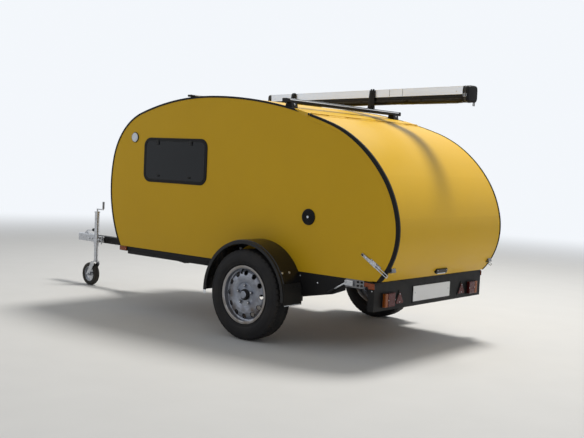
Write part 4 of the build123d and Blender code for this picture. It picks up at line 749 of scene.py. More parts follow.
TYRE_STEPS = 480
TREAD_R = 0.343
TREAD_HALF = 0.062
TREAD_FALL = 0.004
GROOVES = (0.014, 0.042)
GROOVE_HALF = 0.0042
GROOVE_DEEP = 0.007
SHOULDER_FROM = 0.050
RIB_FROM = 0.020
MIDDLE_FROM = 0.005
TREAD_EDGES = (
    0.0, 0.0046, 0.0094, 0.0098, 0.0182, 0.0186, 0.024, 0.030,
    0.0374, 0.0378, 0.0462, 0.0466, 0.051, 0.056, 0.062,
)
# Cuts: slant in steps a metre, every so many steps, steps wide, depth
SHOULDER_CUTS = (120, 10, 2, 0.0062)
RIB_CUTS = (170, 6, 1, 0.004)
MIDDLE_CUTS = (200, 6, 1, 0.0035)
# Wall from the tread to the bead: radius, distance from the tyre's middle
WALL = (
    (0.3400, 0.0645), (0.3365, 0.0690), (0.3315, 0.0730), (0.3250, 0.0762), (0.3242, 0.0772),
    (0.3120, 0.0812), (0.3000, 0.0845), (0.2990, 0.0852), (0.2970, 0.0853), (0.2960, 0.0856),
    (0.2850, 0.0872), (0.2740, 0.0878), (0.2620, 0.0872), (0.2540, 0.0858), (0.2530, 0.0846),
    (0.2440, 0.0812), (0.2380, 0.0786), (0.2365, 0.0800), (0.2330, 0.0795), (0.2290, 0.0740),
    (0.2240, 0.0690), (0.2200, 0.0640), (0.2060, 0.0634),
)
NOTCHED_TO = 0.0700
NOTCHED_FROM_R = 0.3
NOTCH_DEEP = 0.004
NOTCH_IN = 0.6


def tread_radius(y, step):
    """Radius of the tread at a distance from its middle and a step round the tyre."""
    half = abs(y)
    radius = TREAD_R - TREAD_FALL * (half / TREAD_HALF) ** 2
    if any(abs(half - groove) < GROOVE_HALF for groove in GROOVES):
        return radius - GROOVE_DEEP
    if half <= MIDDLE_FROM:
        return radius
    across = y
    cuts = RIB_CUTS if half > RIB_FROM else MIDDLE_CUTS
    if half > SHOULDER_FROM:
        across = half - SHOULDER_FROM
        cuts = SHOULDER_CUTS
    slant, every, wide, deep = cuts
    return radius - deep if (step + across * slant) % every < wide else radius


def wall_ring(radius, out, way, notched):
    """Ring of a tyre's wall; a notched one carries on the shoulder's cuts."""
    _, every, wide, _ = SHOULDER_CUTS
    ring = []
    for i in range(TYRE_STEPS):
        cut = NOTCH_DEEP if notched and i % every < wide else 0.0
        ring.append((radius - cut, way * (out - cut * NOTCH_IN)))
    return ring


def tyre(side_name, side):
    """Road tyre in place of its plain CAD form."""
    low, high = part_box("tyre_" + side_name)
    middle = (low + high) / 2
    tread = sorted({way * edge for edge in TREAD_EDGES for way in (-1, 1)})
    rings = [wall_ring(r, out, -1, out < NOTCHED_TO and r > NOTCHED_FROM_R) for r, out in reversed(WALL)]
    rings += [[(tread_radius(y, i), y) for i in range(TYRE_STEPS)] for y in tread]
    rings += [wall_ring(r, out, 1, out < NOTCHED_TO) for r, out in WALL]
    sections = []
    for ring in rings:
        section = []
        for a, (r, y) in zip(turns(TYRE_STEPS), ring):
            section.append((middle.x + r * math.cos(a), middle.y + side * y, middle.z + r * math.sin(a)))
        sections.append(section)
    bm = bmesh.new()
    skin(bm, sections, looped=True)
    piece = finished("road_tyre_" + side_name, bm, tyre_rubber, "wheel_" + side_name, TYRE_CREASE)
    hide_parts("tyre_" + side_name)


for side_name, side in SIDES:
    tyre(side_name, side)

# Road wheels: raised nut seats and nave, black lips that paint shade into the holes, stud ends, cap ring and
# valve

WHEEL_Y = 0.855
STUDS = 5
STUD_START = 0.25
STUD_RING = 0.06985
STUD_OUT = 0.066
SEAT_OUT = 0.050
NAVE_R = 0.0945
NAVE_OUT = 0.0465
HOLES = 12
HOLE_RING = 0.163
HOLE_OUT = 0.0532
HOLE_LEAN_IN, HOLE_LEAN_OUT = 0.2425, 0.970
CAP_RING_R = 0.0362
CAP_RING_OUT = 0.0635
VALVE_TURN = math.radians(75)
# Valve and sections: radius, distance out; the nave's radii are from NAVE_R
VALVE_STEM = ((0.192, 0.036), (0.180, 0.046), (0.168, 0.056))
VALVE_TIP = (0.160, 0.063)
NUT_SEAT = ((0.0195, -0.0005), (0.0190, 0.0010), (0.0172, 0.0026), (0.0150, 0.0026), (0.0135, 0.0004))
HOLE_LIP = ((0.0168, -0.0044), (0.0168, -0.0006), (0.0180, 0.0006), (0.0200, 0.0004), (0.0207, -0.0008))
NAVE_RING = ((-0.0048, -0.0010), (-0.0030, 0.0020), (0.0, 0.0029), (0.0030, 0.0020), (0.0048, -0.0010))
STUD_END = ((0, -0.001), (0.0062, -0.001), (0.0062, 0.0030), (0.0050, 0.0042), (0, 0.0042))


def on_wheel(side, turn, radius, out):
    """Point of a wheel at a turn and radius, out from its middle."""
    return at(radius * math.cos(turn), side * (WHEEL_Y + out), HUB_Z + radius * math.sin(turn))


def wheel_face(side, turn, radius, out):
    """Place on a wheel that looks out."""
    return facing(on_wheel(side, turn, radius, out), (0, side, 0))


for side_name, side in SIDES:
    body = "wheel_" + side_name
    studs = [2 * math.pi * (i + STUD_START) / STUDS for i in range(STUDS)]
    bm = bmesh.new()
    for turn in studs:
        turned(bm, wheel_face(side, turn, STUD_RING, SEAT_OUT), NUT_SEAT, steps=30, looped=True)
    nave = [(NAVE_R + r, out) for r, out in NAVE_RING]
    turned(bm, wheel_face(side, 0, 0, NAVE_OUT), nave, steps=72, looped=True)
    finished("wheel_pressings_" + side_name, bm, silver, body)
    holes = []
    for turn in turns(HOLES):
        lean = (HOLE_LEAN_IN * math.cos(turn), side * HOLE_LEAN_OUT, HOLE_LEAN_IN * math.sin(turn))
        holes.append(facing(on_wheel(side, turn, HOLE_RING, HOLE_OUT), lean))
    # Painted shade: the holes' lips are black so that the holes read dark
    lip = {"section": HOLE_LIP, "steps": 30, "looped": True}
    fixings("wheel_hole_shade_lips_" + side_name, turned, steel, body, holes, **lip)
    ends = [wheel_face(side, turn, STUD_RING, STUD_OUT) for turn in studs]
    fixings("wheel_stud_ends_" + side_name, turned, zinc, body, ends, section=STUD_END, steps=16)
    bm = bmesh.new()
    cap = wheel_face(side, 0, 0, CAP_RING_OUT)
    round_ring(bm, cap, middle=CAP_RING_R, radius=0.0048, steps=64, sides=10)
    stem = [on_wheel(side, VALVE_TURN, r, out) for r, out in VALVE_STEM]
    wire(bm, stem, radius=[0.0058, 0.0042, 0.0042], sides=12)
    sleeve(bm, stem[-1], on_wheel(side, VALVE_TURN, *VALVE_TIP), radius=0.0050, ribs=3, deep=0.0006)
    finished("wheel_cap_ring_and_valve_" + side_name, bm, grip_rubber, body)

# Mudguards and flaps: bolts, rivets, a clip plate at the front and a strip across the flap

GUARD_R = 0.415
GUARD_WALL_Y = 0.734
GUARD_BOLT_R = 0.396
GUARD_BOLTS = (18, 54, 90, 126, 162)
# Stays: degrees from forward, distances out
REAR_STAY = (150.7, (0.836, 0.914))
FRONT_STAY = (24, (0.800, 0.900))
FLAP_TOP = (165.5, (0.775, 0.820, 0.865, 0.910))
CLIP = (0.398, 0.9455, 0.322)
FLAP_STRIP_Y, FLAP_STRIP_Z = 0.852, 0.3145


def over_wheel(node, side, row):
    """Places of a row on a mudguard's outside, met from above."""
    degrees, ys = row
    a = math.radians(degrees)
    way = Vector((math.cos(a), 0, math.sin(a)))
    return [touch(node, at(0, side * y, HUB_Z) + way * GUARD_R * 1.4, -way) for y in ys]


for side_name, side in SIDES:
    flange = []
    for degrees in GUARD_BOLTS:
        a = math.radians(degrees)
        x, z = GUARD_BOLT_R * math.cos(a), HUB_Z + GUARD_BOLT_R * math.sin(a)
        flange.append(beside(side, x, GUARD_WALL_Y, z, a))
    fixings("guard_wall_bolts_" + side_name, hex_bolt, zinc, "trailer", flange, washer=0.010)
    stays = over_wheel("mudguards", side, REAR_STAY) + over_wheel("mudguards", side, FRONT_STAY)
    fixings("guard_stay_bolts_" + side_name, hex_bolt, zinc, "trailer", stays, across=0.012, washer=0.010)
    heads = over_wheel("mud_flaps", side, FLAP_TOP)
    fixings("flap_rivets_" + side_name, dome_rivet, steel, "trailer", heads, radius=0.006, height=0.003)
    bm = bmesh.new()
    clip = beside(side, *CLIP)
    tablet(bm, clip, wide=0.026, tall=0.038, depth=0.0016, corner=0.003, edge=0.0006)
    dome_rivet(bm, clip @ Matrix.Translation((0, -0.008, 0.0015)), radius=0.0035, height=0.0012)
    strip = touch("mud_flaps", at(-0.6, side * FLAP_STRIP_Y, FLAP_STRIP_Z), (1, 0, 0))
    tablet(bm, strip, wide=0.186, tall=0.005, depth=0.0014, corner=0.001, edge=0.0005)
    finished("guard_clips_and_flap_strip_" + side_name, bm, aluminium, "trailer")

# Tail: prisms and screws of the lamps, the blank plate's border, panel screws, side reflectors

LENS_X = -1.093
LAMP_Z = 0.418
LAMP_Y = 0.5735
INDICATOR_Y = 0.637
LAMP_SCREW_YS = (0.5325, 0.6125)
TRIANGLE_SCREW_Y = 0.441
PANEL_X = -1.063
PANEL_END_Y = 0.757
# Rows of panel screws: height, distances from the middle
PANEL_ROWS = ((0.531, (-0.735, -0.365, -0.12, 0.12, 0.365, 0.735)), (0.357, (-0.735, -0.365, 0.365, 0.735)))
PLATE_FACE = rearward(-1.069, 0, 0.432)

spots = [rearward(LENS_X, side * LAMP_Y, z) for _, side in SIDES for z in (0.4420, 0.3935)]
prism = {"wide": 0.078, "tall": 0.034, "pitch": 0.0057, "deep": 0.0014}
fixings("tail_lamp_prisms", fluted, red_lens, "trailer", spots, PRISM_CREASE, **prism)
spots = [rearward(LENS_X, side * INDICATOR_Y, LAMP_Z) for _, side in SIDES]
prism = {"wide": 0.026, "tall": 0.084, "pitch": 0.0070, "deep": 0.0014}
fixings("indicator_prisms", fluted, turn_lens, "trailer", spots, PRISM_CREASE, **prism)
screws = []
for _, side in SIDES:
    screws += [rearward(LENS_X, side * y, LAMP_Z, 0.6) for y in LAMP_SCREW_YS]
    for z in (0.390, 0.448):
        screws.append(touch("tail_lamps", at(-1.2, side * TRIANGLE_SCREW_Y, z), (1, 0, 0)))
fixings("lamp_screws", cross_screw, zinc, "trailer", screws, radius=0.0042)
border = {"wide": 0.510, "tall": 0.102, "corner": 0.010, "radius": 0.0011}
fixings("plate_border", rim_bead, white_plate, "trailer", [PLATE_FACE], **border)
screws = [PLATE_FACE @ Matrix.Translation((x, 0.006, 0)) for x in (-0.235, 0.235)]
fixings("plate_screws", dome_rivet, zinc, "trailer", screws, radius=0.0055, height=0.0030)
spots = [rearward(PANEL_X, y, z) for z, ys in PANEL_ROWS for y in ys]
spots += both_sides(-1.040, PANEL_END_Y, 0.380)
fixings("tail_panel_screws", dome_rivet, steel, "trailer", spots, radius=0.0048, height=0.0026)
spots = both_sides(-1.046, PANEL_END_Y, 0.487)
fixings("tail_side_screws", dome_rivet, zinc, "trailer", spots, radius=0.0048, height=0.0026)
bm = bmesh.new()
for place in both_sides(-1.0415, 0.7568, 0.5205):
    tablet(bm, place, wide=0.0500, tall=0.0400, depth=0.0070, corner=0.004, edge=0.0015)
    fluted(bm, place @ Matrix.Translation((0, 0, 0.0065)), wide=0.044, tall=0.034, pitch=0.0048, deep=0.0014)
finished("tail_side_reflectors", bm, amber_lens, "trailer", PRISM_CREASE)

# Side markers: prisms, end screws and gaskets

SIDE_LENS_Y = 0.740
FRONT_LENS_Z = 0.528
GASKET_Y = 0.7275
FRONT_SCREW_XS = (1.606, 1.684)
# Markers: forward, up, length of the prisms, gasket's length and height
SIDE_LENSES = ((1.645, FRONT_LENS_Z, 0.062, 0.096, 0.0405), (-0.9885, 0.5245, 0.026, 0.052, 0.0335))

prisms = bmesh.new()
gaskets = bmesh.new()
for x, z, prisms_long, long, tall in SIDE_LENSES:
    for place in both_sides(x, SIDE_LENS_Y, z):
        fluted(prisms, place, wide=prisms_long, tall=0.018, pitch=0.0045, deep=0.0010)
    for place in both_sides(x, GASKET_Y, z):
        tablet(gaskets, place, wide=long, tall=tall, depth=0.003, corner=0.006)
finished("side_marker_prisms", prisms, amber_lens, "trailer", PRISM_CREASE)
spots = [place for x in FRONT_SCREW_XS for place in both_sides(x, SIDE_LENS_Y, FRONT_LENS_Z)]
fixings("side_marker_screws", cross_screw, zinc, "trailer", spots, radius=0.003)
finished("side_marker_gaskets", gaskets, grip_rubber, "trailer")

# Toggle latches on the walls: rivets, pins and thumb pads

LATCH_FRONT = Vector((-0.9328, 0, 0.7350))
LATCH_REACH = Vector((-0.196, 0, -0.119))
LATCH_ACROSS = Vector((0.119, 0, -0.196)).normalized()
LATCH_BASE_Y = 0.733
LATCH_TIP_Y = 0.7435
LATCH_TIP_SHARE = 0.04
# Rivets: share of the reach, distance across its line
LATCH_RIVETS = ((0.70, 0.0125), (0.70, -0.0125), (0.745, 0.0125), (0.745, -0.0125))
# Pins: share of the reach, half length, distance out
LATCH_PINS = ((0.585, 0.0165, 0.7385), (0.40, 0.0145, 0.7375))


def on_latch(side, share, across, out):
    """Point of a latch at a share of its reach, across its line, out from the middle."""
    spot = LATCH_FRONT + LATCH_REACH * share + LATCH_ACROSS * across
    return at(spot.x, side * out, spot.z)


for side_name, side in SIDES:
    bm = bmesh.new()
    for share, across in LATCH_RIVETS:
        head = facing(on_latch(side, share, across, LATCH_BASE_Y), (0, side, 0))
        dome_rivet(bm, head, radius=0.0032, height=0.0018)
    for share, half, out in LATCH_PINS:
        pin = [on_latch(side, share, 0, out) + LATCH_ACROSS * half * m for m in (-1, -0.97, 0.97, 1)]
        wire(bm, pin, radius=[0.0022, 0.0030, 0.0030, 0.0022], sides=12)
    finished("latch_pins_" + side_name, bm, zinc, "trailer")
    ahead = LATCH_REACH.normalized()
    lean = Matrix.Rotation(math.atan2(-ahead.z, -ahead.x) * -side, 4, "Z")
    tip = facing(on_latch(side, LATCH_TIP_SHARE, 0, LATCH_TIP_Y), (0, side, 0)) @ lean
    pad = {"wide": 0.020, "tall": 0.0125, "depth": 0.0022, "corner": 0.004}
    fixings("latch_thumb_pad_" + side_name, tablet, grip_rubber, "trailer", [tip], **pad)

# Keepers and plate lamp on the hatch

screws = []
for _, side in SIDES:
    screws += [touch("hatch_fittings", at(-1.5, side * y, 0.6545), (1, 0, 0)) for y in (0.678, 0.702)]
fixings("keeper_screws", cross_screw, zinc, "hatch", screws, radius=0.0034)
screws = [touch("plate_lamp", at(-1.4, y, 0.600), (1, 0, 0)) for y in (-0.063, 0.063)]
fixings("plate_lamp_screws", cross_screw, zinc, "hatch", screws, radius=0.0036)
window = touch("plate_lamp", at(-1.140, 0, 0.500), (0, 0, 1))
prism = {"wide": 0.110, "tall": 0.0085, "pitch": 0.0028, "deep": 0.0010}
fixings("plate_lamp_window", fluted, clear_lens, "hatch", [window], PRISM_CREASE, **prism)

# Corner steadies: saddle bolts, levers with ribbed grips, pivot washers

LEVER_ROOT = (-0.808, 0.739, 0.5195)
LEVER_REACH = (0.150, 0.0055, -0.088)
LEVER_TUBE = (0.02, 0.05, 0.58, 0.61)
LEVER_GRIP = (0.63, 1.012)
PIVOT_X, PIVOT_Z = -0.880, 0.522


def on_lever(side, share):
    """Point of a steady's clamp lever at a share of its length."""
    root = at(LEVER_ROOT[0], side * LEVER_ROOT[1], LEVER_ROOT[2])
    return root + Vector((LEVER_REACH[0], side * LEVER_REACH[1], LEVER_REACH[2])) * share


spots = both_sides(-0.855, 0.750, 0.5265) + both_sides(-0.815, 0.750, 0.5265)
fixings("steady_saddle_bolts", hex_bolt, zinc, "trailer", spots, across=0.010, height=0.0045, washer=0.0075)
grips = bmesh.new()
tubes = bmesh.new()
washers = bmesh.new()
for _, side in SIDES:
    start, end = (on_lever(side, share) for share in LEVER_GRIP)
    sleeve(grips, start, end, radius=0.0094, ribs=8)
    tube = [on_lever(side, share) for share in LEVER_TUBE]
    wire(tubes, tube, radius=[0.0040, 0.0068, 0.0068, 0.0050], sides=16)
    pivot = [at(PIVOT_X, side * y, PIVOT_Z) for y in (0.597, 0.5975, 0.602)]
    wire(washers, pivot, radius=[0.009, 0.0125, 0.0125], sides=20)
finished("steady_lever_grips", grips, grip_rubber, "trailer")
finished("steady_lever_tubes", tubes, zinc, "trailer")
finished("steady_pivot_washers", washers, zinc, "trailer")

# Left window and the door's window: seals, hinge clips and catches

SEAL_Y = 0.7374
OUTER_SEAL_Y = 0.7306
CLIP_Y = 0.7372
CLIP_BELOW_TOP = 0.012
CATCH_Y = 0.7362
CATCH_RISE = 0.030
CATCH_IN = 0.06
CATCH_KNOB = ((0, 0), (0.0075, 0), (0.0065, 0.004), (0, 0.004))
FRAME_WIDE = 0.024
PANE_CORNER = 0.048
# Panes: rear, front, underside, top
LEFT_PANE = (0.668, 1.383, 1.155, 1.479)
LEFT_CLIPS = (0.830, 1.232)
DOOR_PANE = (0.572, 1.008, 1.142, 1.468)
DOOR_CLIPS = (0.680, 0.900)


def window_trim(name, body, side, pane, clip_xs):
    """Seals round a pane and its frame, hinge clips over its upper edge and catches at its foot."""
    rear, front, low, high = pane
    x, z = (rear + front) / 2, (low + high) / 2
    wide, tall = front - rear, high - low
    more = 2 * FRAME_WIDE
    corner = PANE_CORNER + FRAME_WIDE
    bm = bmesh.new()
    rim_bead(bm, beside(side, x, SEAL_Y, z), wide=wide, tall=tall, corner=PANE_CORNER, radius=0.0030)
    outer = beside(side, x, OUTER_SEAL_Y, z)
    rim_bead(bm, outer, wide=wide + more, tall=tall + more, corner=corner, radius=0.0022)
    for clip_x in clip_xs:
        clip = beside(side, clip_x, CLIP_Y, high - CLIP_BELOW_TOP)
        tablet(bm, clip, wide=0.030, tall=0.040, depth=0.0070, corner=0.005, edge=0.002)
        catch_x = clip_x + (sum(clip_xs) / 2 - clip_x) * CATCH_IN
        catch = beside(side, catch_x, CATCH_Y, low + CATCH_RISE)
        tablet(bm, catch, wide=0.038, tall=0.018, depth=0.0055, corner=0.006, edge=0.002)
        turned(bm, catch @ Matrix.Translation((0, 0, 0.005)), CATCH_KNOB, steps=20)
    finished(name, bm, grip_rubber, body)


window_trim("window_seals_and_clips", "trailer", 1, LEFT_PANE, LEFT_CLIPS)
window_trim("door_window_seals_and_clips", "door", -1, DOOR_PANE, DOOR_CLIPS)

# Door: lock, screws of its handle and hinges, gasket

LOCK_FACE = ((0, 0), (0.0085, 0), (0.0085, 0.0016), (0.0068, 0.0024))
LOCK_SLOT = ((0.0012, 0.0024), (0.0012, 0.0010), (0, 0.0010))
LOCK_PLACE = (0.500, 0.752, 1.040)
JAMB_PLACE = (0.790, 0.7075, 1.100)
HANDLE_Y = 0.738
HINGE_Y = 0.742

lock = LOCK_FACE + LOCK_SLOT
fixings("door_lock", turned, zinc, "door", [beside(-1, *LOCK_PLACE)], section=lock)
spots = [beside(-1, x, HANDLE_Y, z) for x in (0.473, 0.527) for z in (1.008, 1.112)]
spots += [beside(-1, x, HINGE_Y, z) for x in (1.090, 1.112) for z in (0.835, 1.435)]
fixings("door_screws", cross_screw, zinc, "door", spots, radius=0.0038)
spots = [beside(-1, 1.165, HINGE_Y, z + rise) for z in (0.800, 1.400) for rise in (0.011, 0.059)]
fixings("door_hinge_screws", cross_screw, zinc, "trailer", spots, radius=0.0038)
gasket = {"wide": 0.6960, "tall": 0.9560, "corner": 0.088, "radius": 0.0020}
fixings("door_gasket", rim_bead, grip_rubber, "trailer", [beside(-1, *JAMB_PLACE)], **gasket)

# Hatch: hinge screws and the seal it closes on

HINGE_YS = [-0.66 + 0.12 * i for i in range(12)]
# Rows of screws: piece, leaf, forward, body
HINGE_ROWS = (
    ("hatch", "hatch_hinge_leaf", -0.426, "hatch"),
    ("roof", "hatch_hinge_roof", -0.376, "trailer"),
)
# Centre of the hatch's arc, in the side view
MIDDLE_X, MIDDLE_Z = -0.45, 0.98


def round_hatch(node, side, y, degrees):
    """Place where a node is met from outside, towards the arc's centre, at an angle up from the rear."""
    a = math.radians(degrees)
    way = Vector((-math.cos(a), 0, math.sin(a)))
    return touch(node, at(MIDDLE_X, side * y, MIDDLE_Z) + way * 2.0, -way)


for name, node, x, body in HINGE_ROWS:
    heads = [touch(node, at(x, y, 1.80), (0, 0, -1)) for y in HINGE_YS]
    fixings("hinge_screws_" + name, cross_screw, hinge_paint, body, heads, radius=0.0040, height=0.0018)
for side_name, side in SIDES:
    bm = bmesh.new()
    line = [round_hatch("side_" + side_name, side, 0.715, 2 * k - 27) for k in range(60)]
    wire(bm, [place @ Vector((0, 0, 0.0004)) for place in line], radius=0.0022, sides=8)
    finished("hatch_seal_" + side_name, bm, grip_rubber, "trailer")

# Hatch cheeks: yellow skins on the sides that leave the hatch's black edge bare

CHEEK_IN = 0.0470
CHEEK_FOLD_IN = 0.0436
CHEEK_EDGE = 0.0007
CHEEK_Y = 0.7346
CHEEK_UNDER_Y = 0.7322
CHEEK_FOLD_Y = 0.7305
CHEEK_STEPS = 120
CHEEK_LOW, CHEEK_HIGH = -31.8, 93.6
CHEEK_FOOT_Z = 0.5545
CHEEK_FOOT_FLARE = Vector((0.026, 0, 0))


def smooth(low, high, value):
    """0 below low, 1 above high, eased between them; low may be the larger."""
    share = min(1.0, max(0.0, (value - low) / (high - low)))
    return share * share * (3 - 2 * share)


def hatch_outline(side):
    """Points down the hatch's black edge from the hinge, each with its way into the wall."""
    points = []
    for k in range(CHEEK_STEPS + 1):
        degrees = CHEEK_HIGH + (CHEEK_LOW - CHEEK_HIGH) * k / CHEEK_STEPS
        points.append(round_hatch("hatch_edges", side, 0.7225, degrees).translation)
    walk = []
    for k, point in enumerate(points):
        along = points[min(k + 3, CHEEK_STEPS)] - points[max(k - 3, 0)]
        walk.append((point, Vector((-along.z, 0, along.x)).normalized()))
    return walk


bm = bmesh.new()
for _, side in SIDES:
    sections = []
    for k, (point, inward) in enumerate(hatch_outline(side)):
        share = k / CHEEK_STEPS
        black = 0.018 + 0.013 * smooth(0.0, 0.5, share) - 0.003 * smooth(0.7, 1.0, share)
        rim = [(black, CHEEK_UNDER_Y), (black, 0.7341), (black + CHEEK_EDGE, CHEEK_Y)]
        fold = [(CHEEK_IN - CHEEK_EDGE, CHEEK_Y), (CHEEK_IN, 0.7340), (CHEEK_IN, CHEEK_FOLD_Y)]
        fold += [(CHEEK_FOLD_IN, CHEEK_FOLD_Y), (CHEEK_FOLD_IN, CHEEK_UNDER_Y)]
        sections.append([Vector((point.x, side * y, point.z)) + inward * inset for inset, y in rim + fold])
    down = Vector((inward.z, 0, -inward.x))
    foot = [corner + down * ((CHEEK_FOOT_Z - corner.z) / down.z) for corner in sections[-1]]
    sections.append(foot[:len(rim)] + [corner + CHEEK_FOOT_FLARE for corner in foot[len(rim):]])
    skin(bm, sections)
finished("hatch_cheeks", bm, yellow, "hatch")

# End covers of the hinge, folded over the roof's edge

COVER_REAR_X = -0.384
COVER_STEPS = 12
COVER_STEP = 0.010
COVER_IN, COVER_OUT = 0.7290, 0.7352

bm = bmesh.new()
for _, side in SIDES:
    sections = []
    for k in range(COVER_STEPS + 1):
        x = COVER_REAR_X + COVER_STEP * k
        top = touch("edge_trim", at(x, side * 0.7225, 2.2), (0, 0, -1)).translation.z
        drop = 0.006 + 0.022 * (1 - smooth(0.3, 1.0, k / COVER_STEPS))
        lid = [(0.704, -0.0040), (0.704, -0.0020), (0.7335, 0.0020), (COVER_OUT, 0.0008)]
        fold = [(COVER_OUT, -drop), (COVER_IN, -drop)]
        sections.append([at(x, side * y, top + up) for y, up in lid + fold])
    skin(bm, sections)
finished("hinge_end_covers", bm, hinge_paint, "trailer")

# Marker lights and vents on the sides

MARKER_X, MARKER_Z = 1.535, 1.504
MARKER_RIM = ((0.044, 0), (0.044, 0.005), (0.0425, 0.008), (0.0402, 0.0088), (0.0392, 0.006), (0.0392, 0))
MARKER_PRISMS = (0.006, 0.012, 0.018, 0.024)
VENT_X, VENT_Z = -0.434, 0.957
VENT_RIDGES = (0.017, 0.027, 0.037, 0.047)
VENT_RIDGE = ((-0.0028, 0), (-0.0020, 0.0022), (0.0020, 0.0022), (0.0028, 0))
VENT_BUTTON = ((0, 0), (0.0095, 0), (0.0095, 0.0018), (0.0075, 0.0030), (0, 0.0034))

rims = both_sides(MARKER_X, 0.730, MARKER_Z)
fixings("marker_light_rims", turned, grip_rubber, "trailer", rims, section=MARKER_RIM, steps=56, looped=True)
bm = bmesh.new()
for place in both_sides(MARKER_X, 0.7438, MARKER_Z):
    for radius in MARKER_PRISMS:
        round_ring(bm, place, middle=radius, radius=0.0010, steps=40, sides=6)
finished("marker_light_prisms", bm, clear_lens, "trailer")
bm = bmesh.new()
for place in both_sides(VENT_X, 0.7398, VENT_Z):
    for radius in VENT_RIDGES:
        turned(bm, place, [(radius + x, z) for x, z in VENT_RIDGE], steps=56, looped=True)
finished("vent_ridges", bm, edging, "trailer")
spots = both_sides(VENT_X, 0.7425, VENT_Z)
fixings("vent_buttons", turned, clear_lens, "trailer", spots, section=VENT_BUTTON)

# Roof bars: end plugs, slot covers and foot bolts

# Bars: forward, half length, underside, top
REAR_BAR = (-0.180, 0.757, 1.7920, 1.8240)
FRONT_BAR = (0.853, 0.745, 1.8458, 1.8618)

plugs = bmesh.new()
covers = bmesh.new()
for x, half, low, high in (REAR_BAR, FRONT_BAR):
    tall = high - low
    for _, side in SIDES:
        plug = beside(side, x, half - 0.001, (low + high) / 2)
        tablet(plugs, plug, wide=0.0515, tall=tall + 0.0015, depth=0.0055, corner=0.006, edge=0.002)
    long = half * 2 - 0.06
    for aside in (-0.0125, 0.0125):
        slot = Matrix.Translation(at(x + aside, 0, high - 0.0002))
        slab(covers, slot, rounded(0.015, long, 0.003), depth=0.0012, edge=0.0005)
    for way in (-1, 1):
        flank = facing(at(x + way * 0.0246, 0, low + tall * 0.72), (way, 0, 0))
        slab(covers, flank, rounded(long, tall * 0.20, 0.0012), depth=0.0012, edge=0.0005)
finished("roof_bar_plugs", plugs, grip_rubber, "trailer")
finished("roof_bar_slot_covers", covers, aluminium, "trailer")
spots = []
for _, side in SIDES:
    for way in (-1, 1):
        spots.append(touch("roof_bars", at(REAR_BAR[0] + way * 0.12, side * 0.680, 1.782), (-way, 0, 0)))
fixings("roof_bar_bolts", hex_bolt, zinc, "trailer", spots, across=0.010, height=0.005, washer=0.0075)

# Awning: its frame runs forward from the rear end, across from the back plate and down from the top

AWNING_LONG = 2.50
AWNING_DEEP = 0.110
AWNING_TALL = 0.121
AWNING_REAR = (-1.196, -0.153, 1.98306)
FRONT_BAR_ALONG = 2.091
CAP_LONG = 0.055
BAG_STEPS = 64
BAG_STATIONS = 260
BAG_MIDDLE = (-0.0575, -0.0635)
BAG_HALF = (0.0515, 0.0565)
# How square the bag and its caps are: 2 is round
BAG_SQUARE = 3.4
CAP_SQUARE = 5.0
awning = Matrix.Translation(at(*AWNING_REAR)) @ Matrix.Rotation(-AWNING_YAW, 4, "Z")


def squared(turn, power):
    """Point of a unit circle drawn out towards a square."""
    c = math.cos(turn)
    s = math.sin(turn)
    return math.copysign(abs(c) ** (2 / power), c), math.copysign(abs(s) ** (2 / power), s)


def bag_point(along, turn, lift=0.0):
    """Point of the bag's cloth: full between its holders, flat on the front bar, creased at its ends."""
    across, rise = squared(turn, BAG_SQUARE)
    v = BAG_MIDDLE[0] + across * (BAG_HALF[0] + lift)
    w = BAG_MIDDLE[1] + rise * (BAG_HALF[1] + lift)
    under = smooth(-0.2, -0.9, rise)
    free = smooth(0.02, 0.16, abs(along - FRONT_BAR_ALONG))
    ends = smooth(CAP_LONG, CAP_LONG + 0.10, along) * smooth(CAP_LONG, CAP_LONG + 0.10, AWNING_LONG - along)
    sag = under * free * ends * (0.0042 + 0.0012 * math.sin(along * 5.3))
    belly = smooth(-0.066, -0.080, w) * ends * (0.0035 + 0.0012 * math.sin(along * 9.1 + 1.0))
    loose = smooth(-0.064, -0.078, w)
    crease = noise.noise(Vector((along * 13.0, turn * 1.6, 2.0))) * 0.0022
    crease += noise.noise(Vector((along * 34.0 + turn * 3.0, turn * 2.2, 7.0))) * 0.0011
    pull = (1 - ends) * math.sin(turn * 9 + along * 60) * 0.0012
    out = loose * free * (crease + pull)
    return awning @ Vector((along, v + across * (belly + out), w - sag + rise * out))


bag_long = AWNING_LONG - 2 * CAP_LONG + 0.008
stations = [CAP_LONG - 0.004 + bag_long * i / BAG_STATIONS for i in range(BAG_STATIONS + 1)]
bm = bmesh.new()
skin(bm, [[bag_point(u, turn) for turn in turns(BAG_STEPS)] for u in stations])
bag = finished("awning_cloth_bag", bm, cloth, "trailer", CLOTH_CREASE)
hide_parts("awning_bag")

# Awning's ends: padded caps, piping, straps and buckles

CAP_CORNER = 0.014
CAP_FACE = 0.0015
CAP_FACE_RINGS = (0.12, 0.4, 0.7, 0.9)
CAP_DEPTHS = (0.0015, 0.003, 0.006, 0.010, 0.015, 0.022, 0.030, 0.038, 0.046, 0.052, 0.0565)
PIPING_DEPTHS = (0.012, 0.0555)
PIPING_STEPS = 96
# Strap round a cap: depth, lift from its cloth
STRAP_BAND = ((0.024, 0.0002), (0.024, 0.0018), (0.044, 0.0018), (0.044, 0.0002))
STRAP_TAIL_VS = (-0.072, -0.086)
# Loose end of a strap: along, down; and its section
STRAP_TAIL = ((0.012, -0.1170), (0.010, -0.1280), (0.012, -0.1400), (0.011, -0.1500))
TAIL_CORNERS = ((-0.004, -0.0008), (0.004, -0.0008), (0.004, 0.0008), (-0.004, 0.0008))


